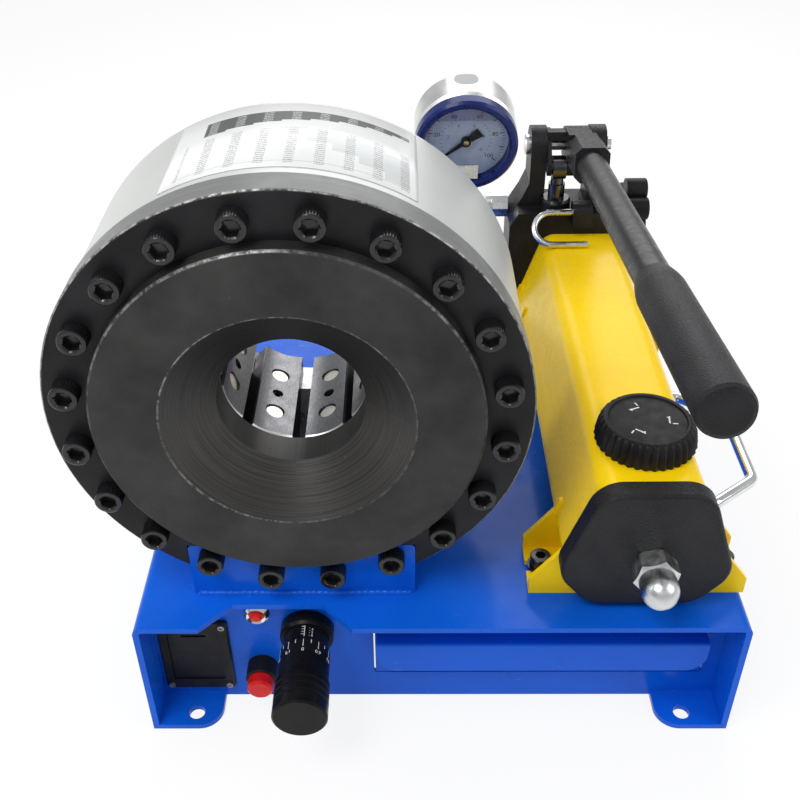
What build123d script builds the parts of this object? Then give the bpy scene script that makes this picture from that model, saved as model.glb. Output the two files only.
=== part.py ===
"""Hand-pumped hydraulic hose crimping machine, as an assembly of separate pieces.

Millimetres. +X to the right, +Y to the back, +Z up. The origin is on the floor, at the
centre of the four foot holes. The crimping head stands on the left, the hand pump on the right.
"""
from build123d import *
from math import cos, radians, sin, sqrt, tan
import os

os.makedirs("parts", exist_ok=True)

# ---------------------------------------------------------------- clearances
FIT = 0.05          # radial clearance of a running fit
SLIDE_GAP = 0.3     # gap beside a sliding sheet or block
HOLE_EXTRA = 0.3    # how much a bolt hole's radius exceeds its bolt's

# ---------------------------------------------------------------- base chassis
BASE_W = 376.0
BASE_D = 380.0
BASE_H = 98.0
SHEET = 4.0
BEND_R = 6.0
TAB_W = 45.0
TAB_CORNER_R = 15.0
FOOT_HOLE_R = 5.25
FOOT_HOLE_SIDE = 27.6     # from the side face
FOOT_HOLE_END = 10.0      # from the front or back edge
PANEL_RECESS = 27.4
PANEL_T = 3.0
NOTCH_DEPTH = 19.4
NOTCH_FRONT_W = 94.0
NOTCH_BACK_W = 56.6

# ---------------------------------------------------------------- crimping head
HEAD_FROM_LEFT = 104.0    # head axis from the base's left side
HEAD_X = HEAD_FROM_LEFT - BASE_W / 2
NOTCH_X = HEAD_X - 16.5   # middle of the notch in the top plate
HEAD_Z = BASE_H + 140.0
HEAD_SETBACK = 29.6       # ring face behind the base's front edge
RING_R = 135.0
RING_T = 20.0
BODY_R = 133.5
BODY_LEN = 98.0
BACK_WALL = 20.0
CYL_BORE_R = 104.0
DISC_R = 108.0
DISC_PROUD = 10.7
DISC_RIM_R = 113.0
DISC_RIM_T = 8.0
MOUTH_R = 70.0
BORE_R = 42.0             # open bore between the dies
MOUTH_END = 12.5          # cone's inner end behind the ring face
MOUTH_LAND = 20.5         # straight land between the cone and the dies
BOLT_PCR = 120.4
BOLT_COUNT = 20
BOLT_R = 5.0
BOLT_HEAD_R = 8.0
BOLT_HEAD_H = 10.0
BOLT_SOCKET_AF = 8.0
BOLT_GRIP = 42.0
DIE_COUNT = 8
DIE_LEN = 84.0
DIE_TRAVEL = 9.0
DIE_BACK_R = 92.0         # outer radius of a die at its front end
CONE_SLOPE = 0.6          # radius lost per millimetre of depth
DIE_CLOSED_GAP = 1.0
MAGNET_R = 6.0
DIE_SCREW_R = 3.5
DIE_MAGNETS_AT = (22.5, 60.0)   # behind the die's front face
DIE_SCREW_AT = 40.5
DIE_POCKET = 5.0          # depth of a magnet's pocket
PISTON_LEAD = 52.0        # piston's front edge behind the ring face, dies open
PISTON_WEB = 10.0
TUBE_WALL = 10.0
WIPER_AT = 6.0            # wiper groove in the rear wall, from its outer face
WIPER_W = 6.0
WIPER_DEEP = 4.0
PORT_BESIDE = 8.0         # oil port through the rear wall, from the pressure block's middle
PORT_BELOW = 10.0
PORT_R = 4.0
TUBE_PROUD = 4.0          # piston tube behind the back wall
BRACKET_W = 138.0
BRACKET_TOP = BASE_H + 41.0
CRADLE_W = 110.0
CRADLE_TOP = BASE_H + 15.0

# ---------------------------------------------------------------- front panel fittings
LED_X = HEAD_X - 31.8
LED_Z = BASE_H - 17.0
LED_R = 8.5
BUTTON_X = LED_X
BUTTON_Z = 31.0
BUTTON_R = 10.0
BUTTON_PROUD = 13.0
BUTTON_CAP_R = 8.4
BUTTON_CAP_PROUD = 21.0
BUTTON_TRAVEL = 3.0
BUTTON_NECK_R = 8.0       # body behind the panel
BUTTON_BEHIND = 20.0
BATTERY_X = HEAD_X - 74.6
BATTERY_Z = 43.0
BATTERY_W = 46.0
BATTERY_H = 64.0
BATTERY_FRAME_T = 3.0
BATTERY_DEPTH = 56.0
TRAY_W = 34.0
TRAY_H = 46.0
MIC_X = HEAD_X
MIC_Z = BASE_H - 30.0
MIC_COLLAR_R = 17.0
MIC_COLLAR_LEN = 11.0
MIC_SLEEVE_R = 14.6
MIC_THIMBLE_R = 15.8
MIC_GRIP_R = 16.8
MIC_LEN = 70.0
MIC_THIMBLE_GAP = 9.0     # scale left showing between collar and thimble
MIC_GRIP_LEN = 24.0
MIC_SPINDLE_R = 5.0
MIC_SPINDLE_BACK = 24.0   # spindle behind the panel's face
DRAWER_LEFT = 146.0       # drawer's left end from the base's left side
DRAWER_RIGHT = 14.0       # and its right end from the right side
DRAWER_W = BASE_W - DRAWER_LEFT - DRAWER_RIGHT
DRAWER_X = (DRAWER_LEFT - DRAWER_RIGHT) / 2
DRAWER_Z0 = 23.5
DRAWER_Z1 = BASE_H - 14.5
DRAWER_DEPTH = 220.0
DRAWER_TRAY_TOP = BASE_H - 28.0
DRAWER_SHEET = 1.5
DRAWER_GAP = 1.0
LIP_OUT = 10.0
LIP_Z0 = 37.0
LIP_Z1 = BASE_H - 36.0
LIP_CORNER_R = 14.0
LIP_SHEET = 2.0

# ---------------------------------------------------------------- hand pump
PUMP_FROM_RIGHT = 66.0    # pump axis from the base's right side
PUMP_X = BASE_W / 2 - PUMP_FROM_RIGHT
TANK_SETBACK = 26.6       # tank's front edge behind the base's
TANK_Z0 = BASE_H + 8.0
TANK_TOP = BASE_H + 89.0
TANK_BOTTOM_HALF = 30.0
TANK_WIDE_HALF = 49.0
TANK_WIDE_Z = BASE_H + 29.0
TANK_TOP_HALF = 29.2
TANK_R = 12.0
TANK_WALL = 2.5
TANK_END_WALL = 4.0       # plate that closes the tank's back
CAP_T = 13.0
CAP_MARGIN = 3.6
CAP_R = 20.0
CAP_LAP = 1.0             # how far the cap laps over the tank's mouth
ROD_X = PUMP_X + 3.0
ROD_Z = BASE_H + 39.0
ROD_R = 7.0
NUT_AF = 24.0
NUT_HEX_H = 13.0
NUT_DOME_R = 11.0
NUT_LEN = 32.0
FOOT_W = 133.0
FOOT_D = 40.0
FOOT_T = 3.5
FOOT_EDGE_H = 12.0
FOOT_WING_Z = BASE_H + 44.0
FOOT_INSET = 2.0          # front foot behind the tank's front edge
FOOT_SLOT_W = 9.0
FOOT_SLOT_LEN = 9.5
FOOT_SCREW_R = 4.0
FOOT_SCREW_HEAD_R = 6.5
FOOT_SCREW_HEAD_H = 8.0
WASHER_R = 8.0
WASHER_T = 1.6
FOOT_SCREW_LEN = 12.0
FOOT_SCREW_END = 9.0      # from the foot's end to the screw's axis
HEAD_BLOCK_D = 46.0
HEAD_BLOCK_X0 = PUMP_X - 57.0
HEAD_BLOCK_X1 = PUMP_X + 32.0
HEAD_BLOCK_TOP = BASE_H + 107.0
EAR_X = (PUMP_X - 41.5, PUMP_X + 5.0)   # left faces of the two ears
EAR_T = 12.5
EAR_SETBACK = 16.0
EAR_R = 15.0
EAR_WAIST_Z = BASE_H + 126.0
PIN_Z = BASE_H + 153.0
PIN_R = 5.0
PLUNGER_X = PUMP_X - 20.0
PLUNGER_DEPTH = 70.0      # plunger's foot below the block's top, lever down
PLUNGER_BORE_DEPTH = PLUNGER_DEPTH + 6.0
PLUNGER_FORWARD = 18.0    # plunger axis in front of the main pin
PLUNGER_DROP = 11.0
PLUNGER_R = 6.5
PLUNGER_PIN_R = 4.0
PLUNGER_NECK_R = 5.0      # slimmer below the eye, to pass between the fork's cheeks
PLUNGER_NECK_LEN = 9.0
GLAND_R = 11.8
GLAND_H = 9.0
LEVER_X = PUMP_X - 2.0
LEVER_TILT = 7.35
LEVER_LEN = 427.5
LEVER_TUBE_R = 11.0
LEVER_TUBE_WALL = 2.5
GRIP_R = 14.2
GRIP_LEN = 147.0
SOCKET_R = 13.5
SOCKET_START = 18.0
SOCKET_END = 60.0
CHEEK_T = 3.0
CHEEK_GAP = 11.5
HOOK_ROD_R = 2.5
HOOK_X0 = PUMP_X - 25.0   # where the hook's straight legs begin
HOOK_LEG_X = PUMP_X + 5.0
HOOK_ROOT_Z = BASE_H + 110.0
HOOK_FREE_Y = -20.0       # free leg from the pivot leg
LUG_X0 = PUMP_X - 8.0
LUG_W = 15.0
VALVE_Z = BASE_H + 98.0
VALVE_STEM_R = 4.0
VALVE_STEM_DEPTH = 24.0
VALVE_KNOB_R = 24.0
VALVE_KNOB_T = 17.0
VALVE_KNOB_GAP = 7.0
FILLER_X = PUMP_X + 2.0
FILLER_SETBACK = 43.0     # filler's axis behind the tank's front edge
FILLER_R = 31.0
FILLER_H = 16.0
FILLER_NECK_R = 16.0
FILLER_NECK_H = 2.5
FILLER_RIBS = 30

# ---------------------------------------------------------------- pressure line and gauge
BLOCK_BESIDE = 101.0      # pressure block beside and above the head's axis
BLOCK_ABOVE = 21.0
BLOCK_X = HEAD_X + BLOCK_BESIDE
BLOCK_Z = HEAD_Z + BLOCK_ABOVE
BLOCK_W = 34.0
BLOCK_D = 32.0
BLOCK_H = 46.0
PORT_Z = BASE_H + 102.0
PORT_HEX_AF = 19.0
PORT_HEX_LEN = 18.0
PIPE_R = 5.0
PIPE_BEND = 18.0
PIPE_RUN = 30.0           # straight run out of the pump
GAUGE_X = BLOCK_X + 1.7
GAUGE_BEHIND = 46.2       # dial behind the head's back
GAUGE_Z = BLOCK_Z + 67.0
GAUGE_LEAN = 10.7         # the dial leans forward by this
GAUGE_R = 32.0
GAUGE_DEPTH = 30.0
GAUGE_RING_T = 7.0
GAUGE_DIAL_R = 26.5
GAUGE_STEM_R = 6.5
GAUGE_STEM_LEN = 27.0
NEEDLE_ANGLE = 218.0
NEEDLE_LEN = 20.0
NEEDLE_TAIL = 11.0
ELBOW_Z = BLOCK_Z + 3.0

# ---------------------------------------------------------------- carry handles
HANDLE_Z = BASE_H - 16.0
HANDLE_OUT = 43.0
HANDLE_GRIP = 76.0
HANDLE_SPAN = 126.0
HANDLE_ROD_R = 4.5
HANDLE_PAD_R = 12.0
HANDLE_PAD_T = 3.0

# ---------------------------------------------------------------- places worked out from the above
FRONT = -BASE_D / 2
RING_Y = FRONT + HEAD_SETBACK
HEAD_BACK = RING_Y + RING_T + BODY_LEN
PANEL_Y = FRONT + PANEL_RECESS
TANK_Y0 = FRONT + TANK_SETBACK
TANK_LEN = BASE_D - TANK_SETBACK - HEAD_BLOCK_D - 0.4
TANK_Y1 = TANK_Y0 + TANK_LEN
FILLER_Y = TANK_Y0 + FILLER_SETBACK
GAUGE_Y = HEAD_BACK + GAUGE_BEHIND
PIN_Y = TANK_Y1 + EAR_SETBACK + EAR_R
PLUNGER_Y = PIN_Y - PLUNGER_FORWARD
PLUNGER_PIN_Z = PIN_Z - PLUNGER_DROP
DIE_Y = RING_Y + MOUTH_END + MOUTH_LAND
PISTON_Y = RING_Y + PISTON_LEAD
PISTON_STROKE = DIE_TRAVEL / CONE_SLOPE
PISTON_END = HEAD_BACK - BACK_WALL
DIE_TAPER = PISTON_END - DIE_Y                    # length of a die's tapered back
DIE_TAIL_R = DIE_BACK_R - CONE_SLOPE * DIE_TAPER  # its straight tail, dies open
TUBE_IN_R = DIE_TAIL_R + SLIDE_GAP
TUBE_OUT_R = TUBE_IN_R + TUBE_WALL


# ---------------------------------------------------------------- helpers
def block(x0, x1, y0, y1, z0, z1):
    """A box between two corners."""
    return Pos((x0 + x1) / 2, (y0 + y1) / 2, (z0 + z1) / 2) * Box(x1 - x0, y1 - y0, z1 - z0)


def bar_x(y, z, x0, x1, r):
    """A round bar along X."""
    return Pos((x0 + x1) / 2, y, z) * Rot(0, 90, 0) * Cylinder(r, x1 - x0)


def bar_y(x, z, y0, y1, r):
    """A round bar along Y."""
    return Pos(x, (y0 + y1) / 2, z) * Rot(90, 0, 0) * Cylinder(r, y1 - y0)


def bar_z(x, y, z0, z1, r):
    """A round bar along Z."""
    return Pos(x, y, (z0 + z1) / 2) * Cylinder(r, z1 - z0)


def turned_y(x, z, points):
    """A turned piece on an axis along Y; points are (radius, y)."""
    return Pos(x, 0, z) * revolve(make_face(Polyline(*points, close=True)), Axis.Y)


def turned_z(x, y, points):
    """A turned piece on an axis along Z; points are (radius, z)."""
    profile = Plane.XZ * make_face(Polyline(*points, close=True))
    return Pos(x, y, 0) * revolve(profile, Axis.Z)


def prism_y(outline, y0, y1):
    """Extrude an outline drawn in X and Z from y0 to y1."""
    return extrude(Plane.XZ.offset(-y1) * outline, y1 - y0)


def prism_x(outline, x0, x1):
    """Extrude an outline drawn in Y and Z from x0 to x1."""
    return extrude(Plane.YZ.offset(x0) * outline, x1 - x0)


def outline(points):
    """A flat face through points."""
    return make_face(Polyline(*points, close=True))


def hexagon(across_flats):
    """A flat hexagon face."""
    return RegularPolygon(across_flats / 2, 6, major_radius=False)


def save(shape, name):
    """Write one sub-part."""
    export_step(shape, f"parts/{name}.step")


def group(pieces):
    """Several equal solids in one sub-part."""
    return Compound(children=list(pieces))


def around_head(radius, angle):
    """A place in the head's own face: angle from the top, clockwise from the front."""
    return HEAD_X + radius * sin(radians(angle)), HEAD_Z + radius * cos(radians(angle))


def cap_screw_y(x, z, y_seat, r, head_r, head_h, grip, socket):
    """A socket-head screw pushed in towards +Y, with its head in front of y_seat."""
    head = bar_y(x, z, y_seat - head_h, y_seat, head_r)
    head = chamfer(head.edges().filter_by(GeomType.CIRCLE).group_by(Axis.Y)[0], 0.8)
    screw = head + bar_y(x, z, y_seat, y_seat + grip, r)
    key = prism_y(Pos(x, z) * hexagon(socket), y_seat - head_h, y_seat - head_h / 2)
    return screw - key


def bolt_angles():
    """Angles of the head bolts, none of them at the very top."""
    step = 360 / BOLT_COUNT
    return [step / 2 + step * i for i in range(BOLT_COUNT)]


def is_low(angle):
    """The four lowest bolts pass through the blue foot bracket."""
    return abs(angle - 180) < 1.6 * 360 / BOLT_COUNT


# ---------------------------------------------------------------- base
def base_chassis():
    shell = Pos(0, 0, BASE_H / 2) * Box(BASE_W, BASE_D, BASE_H)
    shell = fillet(shell.edges().filter_by(Axis.Y).group_by(Axis.Z)[-1], BEND_R)
    room = Pos(0, 0, (BASE_H - SHEET) / 2) * Box(BASE_W - 2 * SHEET, BASE_D, BASE_H - SHEET)
    room = fillet(room.edges().filter_by(Axis.Y).group_by(Axis.Z)[-1], BEND_R - SHEET)
    shell -= room
    notch = outline([
        (NOTCH_X - NOTCH_FRONT_W / 2, FRONT),
        (NOTCH_X - NOTCH_BACK_W / 2, FRONT + NOTCH_DEPTH),
        (NOTCH_X + NOTCH_BACK_W / 2, FRONT + NOTCH_DEPTH),
        (NOTCH_X + NOTCH_FRONT_W / 2, FRONT),
    ])
    shell -= extrude(Pos(0, 0, BASE_H - 2 * SHEET) * notch, 3 * SHEET)
    for side in (-1, 1):
        for end in (-1, 1):
            tab = Box(TAB_W, PANEL_RECESS, SHEET)
            corner = tab.edges().filter_by(Axis.Z).sort_by(lambda e: e.center().X * side + e.center().Y * -end)[0]
            tab = fillet(corner, TAB_CORNER_R)
            tab = Pos(side * (BASE_W - TAB_W) / 2, end * (BASE_D - PANEL_RECESS) / 2, SHEET / 2) * tab
            shell += tab
            hole_x = side * (BASE_W / 2 - FOOT_HOLE_SIDE)
            hole_y = end * (BASE_D / 2 - FOOT_HOLE_END)
            shell -= bar_z(hole_x, hole_y, -1, SHEET + 1, FOOT_HOLE_R)
    for x, y in foot_screw_places():
        shell -= bar_z(x, y, BASE_H - 2 * SHEET, BASE_H + 1, FOOT_SCREW_R + HOLE_EXTRA)
    return shell


def front_panel():
    panel = block(-BASE_W / 2 + SHEET, BASE_W / 2 - SHEET, PANEL_Y, PANEL_Y + PANEL_T, 0, BASE_H - SHEET)
    panel = chamfer(panel.edges().filter_by(Axis.Y).group_by(Axis.Z)[-1], BEND_R - SHEET)
    drawer = Pos(DRAWER_X, (DRAWER_Z0 + DRAWER_Z1) / 2) * RectangleRounded(DRAWER_W, DRAWER_Z1 - DRAWER_Z0, 2)
    panel -= prism_y(drawer, PANEL_Y - 1, PANEL_Y + PANEL_T + 1)
    pocket = Pos(BATTERY_X, BATTERY_Z) * Rectangle(TRAY_W + 4, TRAY_H + 4)
    panel -= prism_y(pocket, PANEL_Y - 1, PANEL_Y + PANEL_T + 1)
    for x, z, r in ((LED_X, LED_Z, 6), (BUTTON_X, BUTTON_Z, 8), (MIC_X, MIC_Z, 11)):
        panel -= bar_y(x, z, PANEL_Y - 1, PANEL_Y + PANEL_T + 1, r)
    return panel


def back_panel():
    y1 = BASE_D / 2 - PANEL_RECESS
    panel = block(-BASE_W / 2 + SHEET, BASE_W / 2 - SHEET, y1 - PANEL_T, y1, 0, BASE_H - SHEET)
    return chamfer(panel.edges().filter_by(Axis.Y).group_by(Axis.Z)[-1], BEND_R - SHEET)


def carry_handle(side):
    wall = BASE_W / 2
    out = wall + HANDLE_OUT
    root = wall + HANDLE_PAD_T
    half_span = HANDLE_SPAN / 2
    half_grip = HANDLE_GRIP / 2
    path = FilletPolyline(
        (root - 1, -half_span, HANDLE_Z),
        (root + 7, -half_span, HANDLE_Z),
        (out, -half_grip, HANDLE_Z),
        (out, half_grip, HANDLE_Z),
        (root + 7, half_span, HANDLE_Z),
        (root - 1, half_span, HANDLE_Z),
        radius=8,
    )
    rod = sweep(Plane(path @ 0, z_dir=path % 0) * Circle(HANDLE_ROD_R), path)
    for y in (-half_span, half_span):
        pad = bar_x(y, HANDLE_Z, wall, wall + HANDLE_PAD_T, HANDLE_PAD_R)
        rod += chamfer(pad.edges().group_by(Axis.X)[-1], 0.8)
    return rod if side > 0 else mirror(rod, Plane.YZ)


# ---------------------------------------------------------------- crimping head
def disc_seat_cut():
    """The stepped hole that the front disc fills."""
    y = RING_Y
    return turned_y(HEAD_X, HEAD_Z, [
        (0, y - 1),
        (DISC_R + 0.15, y - 1),
        (DISC_R + 0.15, y + RING_T - DISC_RIM_T),
        (DISC_RIM_R + 0.15, y + RING_T - DISC_RIM_T),
        (DISC_RIM_R + 0.15, y + RING_T + 0.01),
        (0, y + RING_T + 0.01),
    ])


def front_ring_flange():
    ring = bar_y(HEAD_X, HEAD_Z, RING_Y, RING_Y + RING_T, RING_R)
    ring = chamfer(ring.edges().filter_by(GeomType.CIRCLE), 1.2)
    ring -= disc_seat_cut()
    half = BRACKET_W / 2 + HOLE_EXTRA
    ring -= block(HEAD_X - half, HEAD_X + half, RING_Y - 1, RING_Y + RING_T + 1, 0, BRACKET_TOP + HOLE_EXTRA)
    for angle in bolt_angles():
        if not is_low(angle):
            x, z = around_head(BOLT_PCR, angle)
            ring -= bar_y(x, z, RING_Y - 1, RING_Y + RING_T + 1, BOLT_R + HOLE_EXTRA)
    return ring


def head_bracket():
    """Foot of the head, welded to the top plate: front plate and cradle."""
    half = BRACKET_W / 2
    plate = block(HEAD_X - half, HEAD_X + half, RING_Y, RING_Y + RING_T, BASE_H, BRACKET_TOP)
    plate = fillet(plate.edges().filter_by(Axis.Y).group_by(Axis.Z)[-1], 3)
    plate -= disc_seat_cut()
    cradle = block(HEAD_X - CRADLE_W / 2, HEAD_X + CRADLE_W / 2, RING_Y + RING_T, HEAD_BACK, BASE_H, CRADLE_TOP)
    cradle -= bar_y(HEAD_X, HEAD_Z, RING_Y + RING_T - 1, HEAD_BACK + 1, BODY_R)
    plate += cradle
    for angle in bolt_angles():
        if is_low(angle):
            x, z = around_head(BOLT_PCR, angle)
            plate -= bar_y(x, z, RING_Y - 1, RING_Y + RING_T + 1, BOLT_R + HOLE_EXTRA)
    return plate


def front_cone_disc():
    """Disc in the ring's seat: a cone that leads the hose in, and a boss the dies slide on."""
    y = RING_Y
    disc = turned_y(HEAD_X, HEAD_Z, [
        (MOUTH_R, y - DISC_PROUD),
        (DISC_R - 1.5, y - DISC_PROUD),
        (DISC_R, y - DISC_PROUD + 1.5),
        (DISC_R, y + RING_T - DISC_RIM_T),
        (DISC_RIM_R, y + RING_T - DISC_RIM_T),
        (DISC_RIM_R, y + RING_T),
        (CYL_BORE_R - 1, y + RING_T),
        (CYL_BORE_R - 1, DIE_Y),
        (BORE_R, DIE_Y),
        (BORE_R, y + MOUTH_END),
    ])
    return disc


def cylinder_body():
    y0 = RING_Y + RING_T
    body = turned_y(HEAD_X, HEAD_Z, [
        (CYL_BORE_R, y0),
        (BODY_R, y0),
        (BODY_R, HEAD_BACK - 3),
        (BODY_R - 3, HEAD_BACK),
        (TUBE_OUT_R + FIT, HEAD_BACK),
        (TUBE_OUT_R + FIT, HEAD_BACK - WIPER_AT),
        (TUBE_OUT_R + WIPER_DEEP, HEAD_BACK - WIPER_AT),
        (TUBE_OUT_R + WIPER_DEEP, HEAD_BACK - WIPER_AT - WIPER_W),
        (TUBE_OUT_R + FIT, HEAD_BACK - WIPER_AT - WIPER_W),
        (TUBE_OUT_R + FIT, PISTON_END),
        (CYL_BORE_R, PISTON_END),
    ])
    for angle in bolt_angles():
        x, z = around_head(BOLT_PCR, angle)
        body -= bar_y(x, z, y0 - 1, RING_Y + BOLT_GRIP + 3, BOLT_R)
    body -= bar_y(BLOCK_X - PORT_BESIDE, BLOCK_Z - PORT_BELOW, PISTON_END - 1, HEAD_BACK + 1, PORT_R)
    return body


def cone_r(y):
    """Radius of the dies' tapered back at depth y, dies open."""
    return DIE_BACK_R - CONE_SLOPE * (y - DIE_Y)


def ring_piston():
    """Annular piston: its inner cone squeezes the dies as it comes forward."""
    web = PISTON_END - PISTON_WEB
    piston = turned_y(HEAD_X, HEAD_Z, [
        (cone_r(PISTON_Y) + SLIDE_GAP, PISTON_Y),
        (CYL_BORE_R - FIT, PISTON_Y),
        (CYL_BORE_R - FIT, web - 4),
        (CYL_BORE_R - 4, web - 4),
        (CYL_BORE_R - 4, web + 2),
        (CYL_BORE_R - FIT, web + 2),
        (CYL_BORE_R - FIT, PISTON_END),
        (TUBE_OUT_R, PISTON_END),
        (TUBE_OUT_R, HEAD_BACK + TUBE_PROUD - 1),
        (TUBE_OUT_R - 1, HEAD_BACK + TUBE_PROUD),
        (TUBE_IN_R, HEAD_BACK + TUBE_PROUD),
        (TUBE_IN_R, PISTON_END),
    ])
    return piston


def piston_seal():
    web = PISTON_END - PISTON_WEB
    return turned_y(HEAD_X, HEAD_Z, [
        (CYL_BORE_R - 4, web - 4),
        (CYL_BORE_R - 0.02, web - 4),
        (CYL_BORE_R - 0.02, web + 2),
        (CYL_BORE_R - 4, web + 2),
    ])


def die_angle(index):
    return 360 / DIE_COUNT * (index + 0.5)


def die_shoe(index):
    """One master die. Its tapered back is round about the axis it has when closed."""
    closed_r = DIE_BACK_R - DIE_TRAVEL
    wedge = turned_y(0, 0, [
        (BORE_R - DIE_TRAVEL, DIE_Y),
        (closed_r, DIE_Y),
        (DIE_TAIL_R - DIE_TRAVEL, DIE_Y + DIE_TAPER),
        (DIE_TAIL_R - DIE_TRAVEL, DIE_Y + DIE_LEN),
        (BORE_R - DIE_TRAVEL, DIE_Y + DIE_LEN),
    ])
    half = 180 / DIE_COUNT
    reach = 2 * DIE_BACK_R
    side_x = reach * sin(radians(half))
    side_z = reach * cos(radians(half))
    lift = DIE_CLOSED_GAP / 2 / sin(radians(half))
    sector = outline([(0, lift), (side_x, side_z + lift), (-side_x, side_z + lift)])
    wedge &= prism_y(sector, DIE_Y, DIE_Y + DIE_LEN)
    inner_z = (BORE_R - DIE_TRAVEL)
    for y, r, depth in die_inserts():
        wedge -= bar_z(0, y, inner_z - 3, inner_z + depth, r)
    edges = wedge.edges().filter_by(GeomType.CIRCLE).group_by(Axis.Y)[0].sort_by(lambda e: e.radius)[0:1]
    wedge = chamfer(edges, 1.5)
    wedge = Pos(0, 0, DIE_TRAVEL) * wedge
    return Pos(HEAD_X, 0, HEAD_Z) * Rot(0, die_angle(index), 0) * wedge


def die_inserts():
    """Depth, radius and pocket depth of a die's two magnets and its screw."""
    return (
        (DIE_Y + DIE_MAGNETS_AT[0], MAGNET_R, DIE_POCKET),
        (DIE_Y + DIE_SCREW_AT, DIE_SCREW_R, DIE_POCKET + 2),
        (DIE_Y + DIE_MAGNETS_AT[1], MAGNET_R, DIE_POCKET),
    )


def head_bolts():
    """All twenty equal screws of the head's face."""
    bolts = []
    for angle in bolt_angles():
        x, z = around_head(BOLT_PCR, angle)
        bolts.append(cap_screw_y(x, z, RING_Y, BOLT_R, BOLT_HEAD_R, BOLT_HEAD_H, BOLT_GRIP, BOLT_SOCKET_AF))
    return group(bolts)


# ---------------------------------------------------------------- pressure line and gauge
def pressure_block():
    y0 = HEAD_BACK
    body = block(
        BLOCK_X - BLOCK_W / 2, BLOCK_X + BLOCK_W / 2,
        y0, y0 + BLOCK_D,
        BLOCK_Z - BLOCK_H / 2, BLOCK_Z + BLOCK_H / 2,
    )
    body = chamfer(body.edges().group_by(Axis.Y)[-1], 1.5)
    return body


def pressure_pipe():
    """Steel pipe from the pump's outlet to the block on the head's back."""
    block_y = HEAD_BACK + BLOCK_D / 2
    start = HEAD_BLOCK_X0 - PORT_HEX_LEN
    foot = BLOCK_Z - BLOCK_H / 2
    path = FilletPolyline(
        (start, PIN_Y, PORT_Z),
        (start - PIPE_RUN, PIN_Y, PORT_Z),
        (BLOCK_X, block_y, PORT_Z),
        (BLOCK_X, block_y, foot),
        radius=PIPE_BEND,
    )
    pipe = sweep(Plane(path @ 0, z_dir=path % 0) * Circle(PIPE_R), path)
    nut = extrude(Pos(BLOCK_X, block_y, foot - 12) * hexagon(PORT_HEX_AF - 2), 12)
    return pipe + nut


def pump_outlet_fitting():
    x1 = HEAD_BLOCK_X0
    x0 = x1 - PORT_HEX_LEN
    hexed = prism_x(Pos(PIN_Y, PORT_Z) * hexagon(PORT_HEX_AF), x0 + 5, x1)
    return hexed + bar_x(PIN_Y, PORT_Z, x0, x0 + 5, PORT_HEX_AF / 2 - 1)


def gauge_place(shape):
    """Put a piece drawn about the dial's centre, facing -Y, in its place."""
    return Pos(GAUGE_X, GAUGE_Y, GAUGE_Z) * Rot(GAUGE_LEAN, 0, 0) * shape


def gauge_axis_point(y, z):
    """A point of the gauge's own upright plane, in the machine's frame."""
    t = radians(GAUGE_LEAN)
    return GAUGE_Y + y * cos(t) - z * sin(t), GAUGE_Z + y * sin(t) + z * cos(t)


def gauge_case():
    """Filled case with its stem and hexagon."""
    r = GAUGE_R
    case = turned_y(0, 0, [
        (0, 3),
        (GAUGE_DIAL_R + 0.2, 3),
        (GAUGE_DIAL_R + 0.2, 1.0),
        (r - 1.5, 1.0),
        (r - 1.5, 4),
        (r, 5.5),
        (r, GAUGE_DEPTH - 5),
        (r - 4, GAUGE_DEPTH),
        (0, GAUGE_DEPTH),
    ])
    mid = GAUGE_DEPTH / 2 + 2
    stem = bar_z(0, mid, -r - GAUGE_STEM_LEN, -r + 3, GAUGE_STEM_R)
    flats = extrude(Pos(0, mid, -r - 15) * hexagon(14), 13)
    return gauge_place(case + stem + flats)


def gauge_bezel():
    r = GAUGE_R
    ring = turned_y(0, 0, [
        (GAUGE_DIAL_R, -GAUGE_RING_T + 1),
        (GAUGE_DIAL_R + 1.5, -GAUGE_RING_T),
        (r - 1.5, -GAUGE_RING_T),
        (r, -GAUGE_RING_T + 1.5),
        (r, 1.0),
        (GAUGE_DIAL_R, 1.0),
    ])
    return gauge_place(ring)


def gauge_dial():
    return gauge_place(bar_y(0, 0, 1.4, 3, GAUGE_DIAL_R))


def gauge_lens():
    return gauge_place(bar_y(0, 0, -5, -3.5, GAUGE_DIAL_R))


def gauge_needle():
    """Needle with a wide tail, on a round hub."""
    pointer = outline([
        (-1.6, 0), (-0.4, NEEDLE_LEN), (0.4, NEEDLE_LEN), (1.6, 0), (3.4, -NEEDLE_TAIL), (-3.4, -NEEDLE_TAIL),
    ])
    needle = prism_y(pointer, -0.6, 0)
    needle += bar_y(0, 0, -2, 1.4, 3)
    needle = Rot(0, 90 - NEEDLE_ANGLE, 0) * needle
    return gauge_place(needle)


def gauge_elbow():
    """Elbow that carries the gauge on the pressure block."""
    y0 = HEAD_BACK + BLOCK_D
    mid = GAUGE_DEPTH / 2 + 2
    y_end, z_end = gauge_axis_point(mid, -GAUGE_R - GAUGE_STEM_LEN)
    r = GAUGE_STEM_R + 4
    arm = bar_y(GAUGE_X, ELBOW_Z, y0, y_end, 8)
    elbow = arm + Pos(GAUGE_X, y_end, ELBOW_Z) * Sphere(8)
    elbow += gauge_place(bar_z(0, mid, -GAUGE_R - GAUGE_STEM_LEN - 9, -GAUGE_R - 16, r))
    return elbow - gauge_place(bar_z(0, mid, -GAUGE_R - GAUGE_STEM_LEN, 0, GAUGE_STEM_R))


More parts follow.
